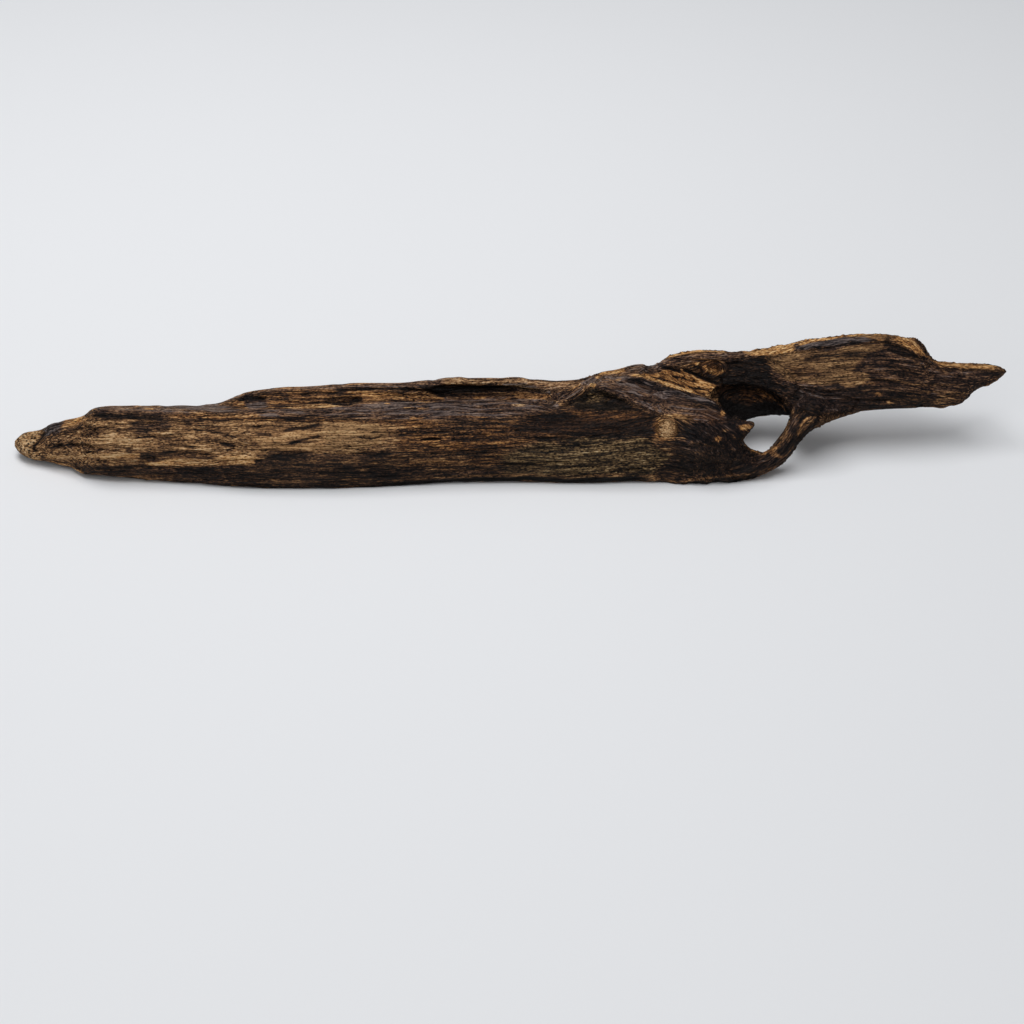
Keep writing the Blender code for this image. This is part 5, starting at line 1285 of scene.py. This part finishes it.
# Spots: (across, down, half-width, half-height, turn, strength, targets).
SPOTS = (
    (666, 429, 12.5, 11.5, 10, 0.9, (0.5, 0.95, 0.0, 0.0)),
    (667, 428.8, 8.4, 9.8, 10, 1.0, (0.96, 0.5, 0.0, 0.0)),
    (718.5, 439, 3.8, 2.9, 10, 0.8, (0.7, 0.95, 0.0, 0.0)),
    (722.2, 413.8, 2.5, 3.2, 0, 0.95, (0.95, 0.98, 0.0, 0.0)),
    (725, 430.5, 3.5, 1.6, 0, 0.6, (0.6, 0.6, 0.0, 0.0)),
    (733, 437, 3.0, 1.6, 20, 0.5, (0.6, 0.7, 0.0, 0.0)),
    (878.6, 394, 4.2, 2.0, 0, 0.85, (0.62, 0.85, 0.0, 0.0)),
    (889.6, 402, 2.6, 1.3, 0, 0.8, (0.6, 0.8, 0.0, 0.0)),
    (879, 340, 3.0, 1.6, 0, 0.7, (0.7, 0.95, 0.0, 0.0)),
    (911, 395, 6.0, 1.2, 0, 0.6, (0.7, 0.4, 0.0, 0.0)),
    (789, 438, 2.6, 3.6, 30, 0.65, (0.42, 0.8, 0.0, 0.0)),
    (799, 431, 1.6, 3.6, 20, 0.4, (0.45, 0.9, 0.0, 0.0)),
    (78.6, 449, 4.0, 1.3, 0, 0.9, (0.9, 0.9, 0.0, 0.0)),
    (62, 441.5, 11.0, 4.2, 0, 0.3, (0.75, 0.4, 0.0, 0.5)),
    (80.5, 431, 4.5, 2.4, 0, 0.7, (0.8, 0.5, 0.0, 0.0)),
    (598, 377, 3.0, 1.8, 0, 0.8, (0.9, 0.95, 0.0, 0.0)),
    (593.4, 386.6, 3.4, 2.0, 0, 1.0, (1.0, 0.95, 0.0, 0.0)),
    (620, 375, 2.6, 1.0, 0, 0.7, (0.9, 0.95, 0.0, 0.0)),
    (619, 379.6, 2.6, 1.6, 0, 0.7, (0.8, 0.9, 0.0, 0.0)),
    (696, 363.6, 4.0, 1.6, 15, 0.8, (0.9, 0.95, 0.0, 0.0)),
    (646, 395, 3.5, 1.6, 10, 0.7, (0.9, 0.4, 0.0, 0.2)),
    (432, 408, 3.0, 2.0, 0, 0.6, (0.1, 0.2, 0.0, 1.0)),
    (361, 413.6, 2.0, 1.8, 0, 0.7, (0.9, 0.5, 0.0, 0.4)),
    (519, 405.5, 8.0, 1.3, 0, 0.8, (0.9, 0.3, 0.0, 0.1)),
    (502, 398.6, 5.0, 1.4, 0, 0.5, (0.3, 0.3, 0.0, 1.0)),
)


def colours(view, wood, rings):
    """The four colour weights at each point: (tan, warm, char, grey)."""
    n = len(view.p)
    rag = 0.65 * streaks(wood, 9.0, 1.1, 401) + 0.35 * streaks(wood, 3.4, 0.6, 402)
    # everywhere: broad streaks of pale and of blackened wood
    broad = streaks(wood, 60, 5.5, 411, 2)
    mid = streaks(wood, 26, 2.2, 412, 2)
    tone = np.empty((n, 4))
    tone[:, 0] = 0.42 + 0.34 * broad + 0.22 * mid
    tone[:, 1] = 0.5 + 0.5 * streaks(wood, 70, 8, 413)
    tone[:, 2] = 0.9 * ramp(0.05, 0.5, streaks(wood, 40, 5, 414, 2))
    # blue-grey streaks of wear and painted sheen, on high ground only
    tone[:, 3] = 0.7 * ramp(0.0, 0.45, streaks(wood, 50, 5, 415)) * ramp(
        6, 14, view.p[:, 2]
    )
    shown = view.front[:, None]
    front = np.empty((n, 4))
    front[:] = (0.42, 0.5, 0.12, 0.05)
    front[:, 0] += 0.10 * broad + 0.12 * mid
    tone += (front - tone) * shown
    for points, soft, strength, target in AREAS:
        weight = strength * view.patch(points, soft, ragged=rag)
        tone += (np.array(target) - tone) * weight[:, None]
    for points, width, strength, target in LINES:
        weight = np.minimum(1.25 * strength * view.stroke(points, width, ragged=rag * 0.5), strength)
        tone += (np.array(target) - tone) * weight[:, None]
    for across, down, wide, high, turn, strength, target in SPOTS:
        weight = strength * view.oval(across, down, wide, high, turn, ragged=rag)
        tone += (np.array(target) - tone) * weight[:, None]
    knotty = (rings * (1 - view.front))[:, None]
    tone += (np.array((0.75, 0.7, 0.0, 0.0)) - tone) * knotty
    return np.clip(tone, 0, 1)


# ---------------------------------------------------------------- materials
class Net:
    """A small helper to write a material's nodes down in order."""

    def __init__(self, name):
        self.material = bpy.data.materials.new(name)
        self.material.use_nodes = True
        self.tree = self.material.node_tree
        self.shader = self.tree.nodes["Principled BSDF"]

    def put(self, socket, value):
        if isinstance(value, bpy.types.NodeSocket):
            self.tree.links.new(value, socket)
        elif isinstance(value, (tuple, list)) and socket.type == "RGBA" and len(value) == 3:
            socket.default_value = (*value, 1.0)
        else:
            socket.default_value = value

    def read(self, name, kind="Fac"):
        node = self.tree.nodes.new("ShaderNodeAttribute")
        node.attribute_type = "GEOMETRY"
        node.attribute_name = name
        return node.outputs[kind]

    def math(self, operation, a, b=0.0, c=None, clamp=False):
        node = self.tree.nodes.new("ShaderNodeMath")
        node.operation = operation
        node.use_clamp = clamp
        self.put(node.inputs[0], a)
        self.put(node.inputs[1], b)
        if c is not None:
            self.put(node.inputs[2], c)
        return node.outputs[0]

    def vector(self, operation, a, b):
        node = self.tree.nodes.new("ShaderNodeVectorMath")
        node.operation = operation
        self.put(node.inputs[0], a)
        self.put(node.inputs[1], b)
        return node.outputs[0]

    def mix(self, share, a, b, blend="MIX"):
        node = self.tree.nodes.new("ShaderNodeMix")
        node.data_type = "RGBA"
        node.blend_type = blend
        node.clamp_factor = True
        self.put(node.inputs[0], share)
        self.put(node.inputs[6], a)
        self.put(node.inputs[7], b)
        return node.outputs[2]

    def ramp(self, value, low, high, to_low=0.0, to_high=1.0):
        node = self.tree.nodes.new("ShaderNodeMapRange")
        node.interpolation_type = "SMOOTHSTEP"
        for socket, v in zip(node.inputs[:5], (value, low, high, to_low, to_high)):
            self.put(socket, v)
        return node.outputs[0]

    def stops(self, value, *marks):
        """A colour ramp: (position, colour) marks from dark to light."""
        node = self.tree.nodes.new("ShaderNodeValToRGB")
        elements = node.color_ramp.elements
        while len(elements) < len(marks):
            elements.new(1.0)
        for element, (place, colour) in zip(elements, marks):
            element.position = place
            element.color = (*colour, 1.0)
        self.put(node.inputs[0], value)
        return node.outputs[0]

    def noise(self, where, detail=2.0, rough=0.55, twist=0.0):
        node = self.tree.nodes.new("ShaderNodeTexNoise")
        node.noise_dimensions = "3D"
        self.put(node.inputs["Vector"], where)
        node.inputs["Scale"].default_value = 1.0
        node.inputs["Detail"].default_value = detail
        node.inputs["Roughness"].default_value = rough
        node.inputs["Distortion"].default_value = twist
        return node.outputs["Fac"]

    def cells(self, where):
        node = self.tree.nodes.new("ShaderNodeTexVoronoi")
        node.feature = "F1"
        self.put(node.inputs["Vector"], where)
        node.inputs["Scale"].default_value = 1.0
        node.inputs["Randomness"].default_value = 0.9
        return node.outputs["Distance"]

    def drawn(self, wood, length, width, shift=0.0):
        """Wood coordinates scaled so that noise is this long and this wide (mm)."""
        scaled = self.vector("MULTIPLY", wood, (1 / length, 1 / width, 1 / width))
        return self.vector("ADD", scaled, (shift, shift * 0.7, shift * 1.3))


def wood_material(name):
    net = Net(name)
    wood = net.read("wood", "Vector")
    tan, warm = net.read("tan"), net.read("warm")
    char_and_shade, grey = net.read("char_and_shade"), net.read("grey")
    hollow, proud = net.read("hollow"), net.read("proud")
    lump, even = net.read("lump"), net.read("even")

    broad = net.noise(net.drawn(wood, 24, 2.8, 3.1), 1.0)
    streak = net.noise(net.drawn(wood, 13.0, 0.95, 7.7), 1.0, 0.6)
    fibre = net.noise(net.drawn(wood, 5.5, 0.40, 1.9), 1.0, 0.6)
    hair = net.noise(net.drawn(wood, 4.2, 0.21, 4.1), 0.0)
    speck = net.noise(net.drawn(wood, 1.0, 0.34, 5.3), 1.0, 0.6)
    dots = net.noise(net.drawn(wood, 0.70, 0.33, 9.1), 0.0)

    def swing(start, *parts):
        for value, amount in parts:
            start = net.math("MULTIPLY_ADD", net.math("SUBTRACT", value, 0.5), amount, start)
        return start

    # how light the wood is, from black resin (0) to bare pale fibre (1)
    base = net.math("MULTIPLY_ADD", tan, 0.74, 0.215)
    base = net.math("MULTIPLY_ADD", char_and_shade, -0.26, base)
    coarse = swing(0.0, (broad, 0.75), (streak, 0.95), (fibre, 1.0))
    fine_sway = swing(0.0, (hair, 0.95), (speck, 1.25))
    calm = net.math("MULTIPLY", net.math("MULTIPLY_ADD", char_and_shade, -0.40, 1.0), net.math("SUBTRACT", 1.0, even))
    coarse = net.math("MULTIPLY", coarse, net.math("MULTIPLY_ADD", tan, -0.26, 0.96))
    sway = net.math("MULTIPLY_ADD", fine_sway, net.math("MULTIPLY_ADD", tan, 0.10, 0.88), coarse)
    light = net.math("MULTIPLY_ADD", sway, calm, base)
    light = net.math("MULTIPLY_ADD", proud, 0.10, light)

    # thin checks that run with the grain: dark where the wood is pale, and the
    # other way round where it is dark
    def thread(length, width, shift, thin):
        value = net.noise(net.drawn(wood, length, width, shift), 1.0, 0.5)
        return net.ramp(net.math("ABSOLUTE", net.math("SUBTRACT", value, 0.5)), thin, 0.0)

    vein = net.math("MULTIPLY", thread(26, 1.5, 2.3, 0.022), net.ramp(streak, 0.64, 0.44))
    fine = net.math("MULTIPLY", thread(11, 0.80, 6.7, 0.040), net.ramp(broad, 0.66, 0.42))
    pale = net.ramp(tan, 0.22, 0.55)
    pore = net.ramp(dots, 0.42, 0.27)
    phloem = net.cells(net.drawn(wood, 1.05, 0.62, 4.4))
    phloem = net.math("MULTIPLY", net.ramp(phloem, 0.46, 0.22), net.ramp(warm, 0.40, 0.12))
    light = net.math("MULTIPLY_ADD", phloem, -0.30, light)
    light = net.math("MULTIPLY_ADD", vein, -0.42, light)
    inlay = net.math("MULTIPLY_ADD", pale, -0.38, net.math("MULTIPLY_ADD", char_and_shade, -0.14, 0.14))
    inlay = net.math("MULTIPLY", inlay, net.math("MULTIPLY_ADD", even, -0.7, 1.0))
    light = net.math("MULTIPLY_ADD", fine, inlay, light)
    light = net.math("MULTIPLY_ADD", pore, -0.26, light)

    shade = net.math("MULTIPLY", light, 0.8)
    brown = net.stops(
        shade,
        (0.000, (0.0050, 0.0039, 0.0038)),
        (0.176, (0.0186, 0.0110, 0.0080)),
        (0.336, (0.0620, 0.0315, 0.0172)),
        (0.496, (0.1690, 0.0855, 0.0390)),
        (0.656, (0.3430, 0.1850, 0.0810)),
        (0.800, (0.5100, 0.3050, 0.1420)),
        (1.000, (0.6600, 0.4550, 0.2600)),
    )
    orange = net.stops(
        shade,
        (0.000, (0.0068, 0.0042, 0.0036)),
        (0.176, (0.0285, 0.0132, 0.0076)),
        (0.336, (0.0950, 0.0400, 0.0166)),
        (0.496, (0.2460, 0.1080, 0.0365)),
        (0.656, (0.4600, 0.2200, 0.0740)),
        (0.800, (0.6600, 0.3750, 0.1480)),
        (1.000, (0.7800, 0.5300, 0.2700)),
    )
    olive = net.stops(
        shade,
        (0.000, (0.0052, 0.0040, 0.0032)),
        (0.176, (0.0175, 0.0114, 0.0070)),
        (0.336, (0.0500, 0.0300, 0.0156)),
        (0.496, (0.1200, 0.0740, 0.0350)),
        (0.656, (0.2300, 0.1500, 0.0720)),
        (0.800, (0.3700, 0.2560, 0.1320)),
        (1.000, (0.5200, 0.3900, 0.2250)),
    )
    colour = net.mix(net.ramp(warm, 0.05, 0.45), olive, brown)
    colour = net.mix(net.ramp(swing(warm, (broad, 0.5)), 0.50, 0.95), colour, orange)
    # a bluer cast where the grey weight is high: painted sheen, with the wear
    cool_sheen = net.vector("MULTIPLY", colour, (0.88, 0.97, 1.42))
    colour = net.mix(net.ramp(grey, 0.02, 0.4, 0.0, 0.55), colour, cool_sheen)

    # open pores of the broken end
    grainy = net.cells(net.vector("MULTIPLY", wood, (0.95, 1.10, 1.10)))
    hole = net.math("MULTIPLY", net.ramp(grainy, 0.42, 0.25), lump)
    colour = net.mix(net.math("MULTIPLY", hole, 0.9), colour, (0.018, 0.011, 0.008))

    # blue-grey of wear on high ground, with a painted sheen of the overhead light
    wear_and_sheen = swing(0.0, (streak, 2.2), (broad, 1.6), (fibre, 1.4))
    wear_and_sheen = net.math("MULTIPLY_ADD", wear_and_sheen, net.ramp(grey, 0.0, 0.6, 0.35, 1.0), grey)
    wear_and_sheen = net.ramp(wear_and_sheen, 0.50, 0.95)
    slate_sheen = net.stops(
        swing(0.46, (fibre, 1.5), (hair, 1.0), (speck, 1.0), (streak, 1.2)),
        (0.10, (0.0105, 0.0086, 0.0092)),
        (0.50, (0.0740, 0.0580, 0.0570)),
        (0.90, (0.1850, 0.1480, 0.1380)),
    )
    colour = net.mix(net.math("MULTIPLY", wear_and_sheen, 0.80), colour, slate_sheen)

    # blackened all through: char, and painted black shade in the undercut, the hollow and along the lower edges
    black = net.ramp(swing(char_and_shade, (streak, 0.5), (speck, 0.5)), 0.66, 1.0)
    colour = net.mix(net.math("MULTIPLY", black, 0.85), colour, (0.0042, 0.0033, 0.0032))

    # painted shade in the grooves and hollows, near black, less where the wood is pale
    crease_shade = net.math("MULTIPLY", hollow, net.math("MULTIPLY_ADD", tan, -0.34, 0.80))
    colour = net.mix(crease_shade, colour, (0.0065, 0.0045, 0.0038))

    rough = net.ramp(light, 0.2, 0.9, 0.52, 0.74)
    rough = net.math("MULTIPLY_ADD", wear_and_sheen, -0.12, rough)
    rough = swing(rough, (fibre, 0.4))
    rough = net.math("MULTIPLY_ADD", hollow, 0.15, rough, clamp=True)

    height = net.math("MULTIPLY_ADD", fibre, 0.75, net.math("MULTIPLY", streak, 1.0))
    height = net.math("MULTIPLY_ADD", speck, 0.45, height)
    height = net.math("MULTIPLY_ADD", pore, -0.25, height)
    height = net.math("MULTIPLY_ADD", hair, 0.35, height)
    height = net.math("MULTIPLY_ADD", vein, -0.55, height)
    height = net.math("MULTIPLY_ADD", fine, -0.35, height)
    height = net.math("MULTIPLY_ADD", hole, -1.0, height)
    bump = net.tree.nodes.new("ShaderNodeBump")
    bump.inputs["Strength"].default_value = 0.9
    bump.inputs["Distance"].default_value = 0.0007
    net.put(bump.inputs["Height"], height)

    net.put(net.shader.inputs["Base Color"], colour)
    net.put(net.shader.inputs["Roughness"], rough)
    net.put(net.shader.inputs["Normal"], bump.outputs["Normal"])
    net.shader.inputs["Specular IOR Level"].default_value = 0.09
    net.shader.inputs["Metallic"].default_value = 0.0
    return net.material


# ---------------------------------------------------------------- pieces
def soft_limit(values, low, high, knee):
    """Values eased in so that none passes the limits."""
    over, under = values - (high - knee), (low + knee) - values
    values = np.where(over > 0, high - knee * np.exp(-over / knee), values)
    return np.where(under > 0, low + knee * np.exp(-under / knee), values)


def whole_piece():
    """The finished body in millimetres, with what its material reads."""
    body, web = base_body()
    points, normals = trued(get_points(body.data)), get_normals(body.data)
    view = View(points, normals)
    wood, figure, rings = grain_of(points, view)
    tone = colours(view, wood, rings)

    relief = carve(view, wood, rings, tone[:, 3])
    relief += pits(view, wood)
    moved = points + normals * relief[:, None]
    moved = web.spread(moved, 1, 0.25)

    # it lies on its underside, whose own grooves stay a little off the floor
    flat = moved[:, 2] < 0.02
    rib = np.abs(streaks(wood, 30, 1.6, 801))
    lift = 0.32 * ramp(0.30, 0.04, rib) + 0.10 * ramp(0.1, 0.5, streaks(wood, 9, 1.1, 802))
    moved[:, 2] = np.maximum(moved[:, 2], np.where(flat, lift * ramp(0.0, -0.5, points[:, 2]), 0.0))

    low, high = np.array(CAD_BOX) * 1000
    low[:2] += MID
    high[:2] += MID
    for k in (0, 1):
        moved[:, k] = soft_limit(moved[:, k], low[k], high[k], 0.25)
    moved[:, 2] = np.minimum(moved[:, 2], high[2] - 0.02)
    set_points(body.data, moved)

    shaped = get_normals(body.data)
    smooth = web.spread(moved, 14)
    bend = ((smooth - moved) * shaped).sum(1)
    bend = web.spread(bend, 1)
    fields = {
        "tan": tone[:, 0],
        "warm": tone[:, 1],
        "char_and_shade": tone[:, 2],
        # grey is kept to upward faces: blue-grey wear, and a painted sheen of the overhead light
        "grey": tone[:, 3] * ramp(-0.3, 0.5, shaped[:, 2]),
        "hollow": ramp(0.05, 0.42, bend),
        "proud": ramp(0.03, 0.30, -bend),
        "lump": view.patch(LUMP, 1.5),
        "even": np.max([much * view.patch(line, soft) for line, soft, much in EVEN], 0),
    }
    return body, figure, shaped, fields


def regions():
    """The three blocks of space that the fork leaves, in plan (mm)."""
    line = list(FORK_LINE)
    line[0] = (FORK_X, FORK_LINE[0][1] + (FORK_LINE[1][1] - FORK_LINE[0][1]) * (FORK_X - 60) / 6)
    return {
        "trunk": ((-200, -60), (FORK_X, -60), (FORK_X, 90), (-200, 90)),
        "lower_limb": ((FORK_X, -60), (170, -60), *reversed(line)),
        "upper_limb": (*line, (170, 90), (FORK_X, 90)),
    }


def prism(name, outline, low, high):
    bm = bmesh.new()
    face = bm.faces.new([bm.verts.new((x, y, low)) for x, y in outline])
    grown = bmesh.ops.extrude_face_region(bm, geom=[face])
    lifted = [g for g in grown["geom"] if isinstance(g, bmesh.types.BMVert)]
    bmesh.ops.translate(bm, vec=(0.0, 0.0, high - low), verts=lifted)
    bmesh.ops.recalc_face_normals(bm, faces=bm.faces)
    return finish(name, bm)


def in_metres(points):
    return (points - (MID[0], MID[1], 0.0)) / 1000.0


def without_flaps(obj):
    """Drops the pairs of slivers that lie back to back on a cut, and loose crumbs."""
    bm = bmesh.new()
    bm.from_mesh(obj.data)
    bmesh.ops.triangulate(bm, faces=bm.faces[:])
    groups = {}
    for face in bm.faces:
        key = frozenset(tuple(round(v, 4) for v in vert.co) for vert in face.verts)
        groups.setdefault(key, []).append(face)
    flaps = [face for key, group in groups.items() if len(key) == 3 and len(group) == 2 for face in group]
    bmesh.ops.delete(bm, geom=flaps, context="FACES")
    left, crumbs = set(bm.faces), []
    while left:
        island = [left.pop()]
        for face in island:
            for edge in face.edges:
                for other in edge.link_faces:
                    if other in left:
                        left.discard(other)
                        island.append(other)
        if len(island) < 50:
            crumbs += island
    bmesh.ops.delete(bm, geom=crumbs, context="FACES")
    bmesh.ops.delete(bm, geom=[vert for vert in bm.verts if not vert.link_faces], context="VERTS")
    bm.to_mesh(obj.data)
    bm.free()


def part_pieces(body, wood, shaped, fields):
    """Parts the body at the fork, with the looks carried over to each part."""
    mesh = body.data
    mesh.calc_loop_triangles()
    corners = np.empty(len(mesh.loop_triangles) * 3, np.int32)
    mesh.loop_triangles.foreach_get("vertices", corners)
    corners = corners.reshape(-1, 3)
    whole = get_points(mesh)
    tree = BVHTree.FromPolygons(whole.tolist(), corners.tolist(), all_triangles=True)
    pieces = []
    for name, outline in regions().items():
        part = bpy.data.objects.new(name, mesh.copy())
        bpy.context.scene.collection.objects.link(part)
        part = cut(part, prism(name + "_block", outline, -40, 90), "INTERSECT")
        without_flaps(part)
        spots = get_points(part.data)
        found = [tree.find_nearest(spot)[2] for spot in spots.tolist()]
        abc = corners[np.array(found)]
        a, b, c = whole[abc[:, 0]], whole[abc[:, 1]], whole[abc[:, 2]]
        normal = np.cross(b - a, c - a)
        area = np.maximum((normal**2).sum(1), 1e-12)
        wb = (np.cross(spots - a, c - a) * normal).sum(1) / area
        wc = (np.cross(b - a, spots - a) * normal).sum(1) / area
        weights = np.clip(np.stack([1 - wb - wc, wb, wc], 1), 0, 1)
        weights /= weights.sum(1)[:, None]

        def carry(values):
            return (values[abc] * weights[:, :, None]).sum(1)

        part.data.materials.clear()
        part.data.materials.append(wood_material(name + "_wood"))
        part.data.shade_smooth()
        for key, values in fields.items():
            layer = part.data.attributes.new(key, "FLOAT", "POINT")
            layer.data.foreach_set("value", carry(values[:, None])[:, 0].astype(np.float32))
        layer = part.data.attributes.new("wood", "FLOAT_VECTOR", "POINT")
        layer.data.foreach_set("vector", carry(wood).astype(np.float32).ravel())
        directions = carry(shaped)
        directions /= np.maximum(np.linalg.norm(directions, axis=1), 1e-9)[:, None]
        set_points(part.data, in_metres(spots))
        part.data.normals_split_custom_set_from_vertices(directions.tolist())
        part.name = name + "_piece"
        part.data.name = name + "_piece"
        pieces.append((name, part))
    bpy.data.objects.remove(body, do_unlink=True)
    return pieces


# ---------------------------------------------------------------- surroundings
def floor():
    bm = bmesh.new()
    bmesh.ops.create_grid(bm, x_segments=8, y_segments=8, size=3.0)
    obj = finish("floor", bm)
    net = Net("floor_paper")
    texture = net.tree.nodes.new("ShaderNodeTexCoord")
    place = texture.outputs["Object"]
    soft = net.noise(net.vector("MULTIPLY", place, (3.0, 3.0, 3.0)), 2)
    split = net.tree.nodes.new("ShaderNodeSeparateXYZ")
    net.put(split.inputs[0], place)
    # the floor is painted lighter towards the back, a painted falloff of the overhead light, with soft mottling
    depth = net.ramp(split.outputs["Y"], -0.26, 0.42)
    depth = net.math("MULTIPLY_ADD", net.math("SUBTRACT", soft, 0.5), 0.10, depth)
    falloff_tint = net.mix(depth, (0.735, 0.742, 0.756), (0.930, 0.937, 0.952))
    net.put(net.shader.inputs["Base Color"], falloff_tint)
    net.shader.inputs["Roughness"].default_value = 0.75
    net.shader.inputs["Specular IOR Level"].default_value = 0.15
    obj.data.materials.append(net.material)
    return obj


def area_light(name, place, aim, size, power, colour):
    light = bpy.data.lights.new(name, "AREA")
    light.shape = "RECTANGLE"
    light.size, light.size_y = size
    light.energy = power
    light.color = colour
    obj = bpy.data.objects.new(name, light)
    bpy.context.scene.collection.objects.link(obj)
    obj.location = place
    obj.rotation_euler = (Vector(aim) - Vector(place)).to_track_quat("-Z", "Y").to_euler()
    return obj


def studio():
    world = bpy.data.worlds.new("studio")
    bpy.context.scene.world = world
    world.use_nodes = True
    back = world.node_tree.nodes["Background"]
    back.inputs["Color"].default_value = (0.93, 0.96, 1.0, 1.0)
    back.inputs["Strength"].default_value = 0.21
    area_light("overhead", (-0.14, -0.075, 0.88), (0.0, 0.0, 0.0), (0.95, 0.40), 6.9, (0.985, 0.99, 1.0))
    area_light("front_fill", (-0.25, -0.75, 0.65), (0.0, 0.0, 0.0), (0.9, 0.6), 1.7, (1.0, 0.985, 0.96))


def camera():
    data = bpy.data.cameras.new("view")
    data.lens, data.sensor_width = 80.0, 36.0
    data.clip_start, data.clip_end = 0.01, 20.0
    obj = bpy.data.objects.new("view", data)
    bpy.context.scene.collection.objects.link(obj)
    obj.location = (-MID[0] / 1000, (EYE_Y - MID[1]) / 1000, EYE_Z / 1000)
    obj.rotation_euler = (radians(90 - SIGHT_TILT), 0.0, 0.0)
    bpy.context.scene.camera = obj


def main():
    body, wood, shaped, fields = whole_piece()
    for name, piece in part_pieces(body, wood, shaped, fields):
        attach(piece, "root")
        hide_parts(name)
    floor()
    studio()
    camera()
    bpy.context.scene.view_settings.view_transform = "Standard"
    bpy.context.scene.view_settings.look = "None"


main()
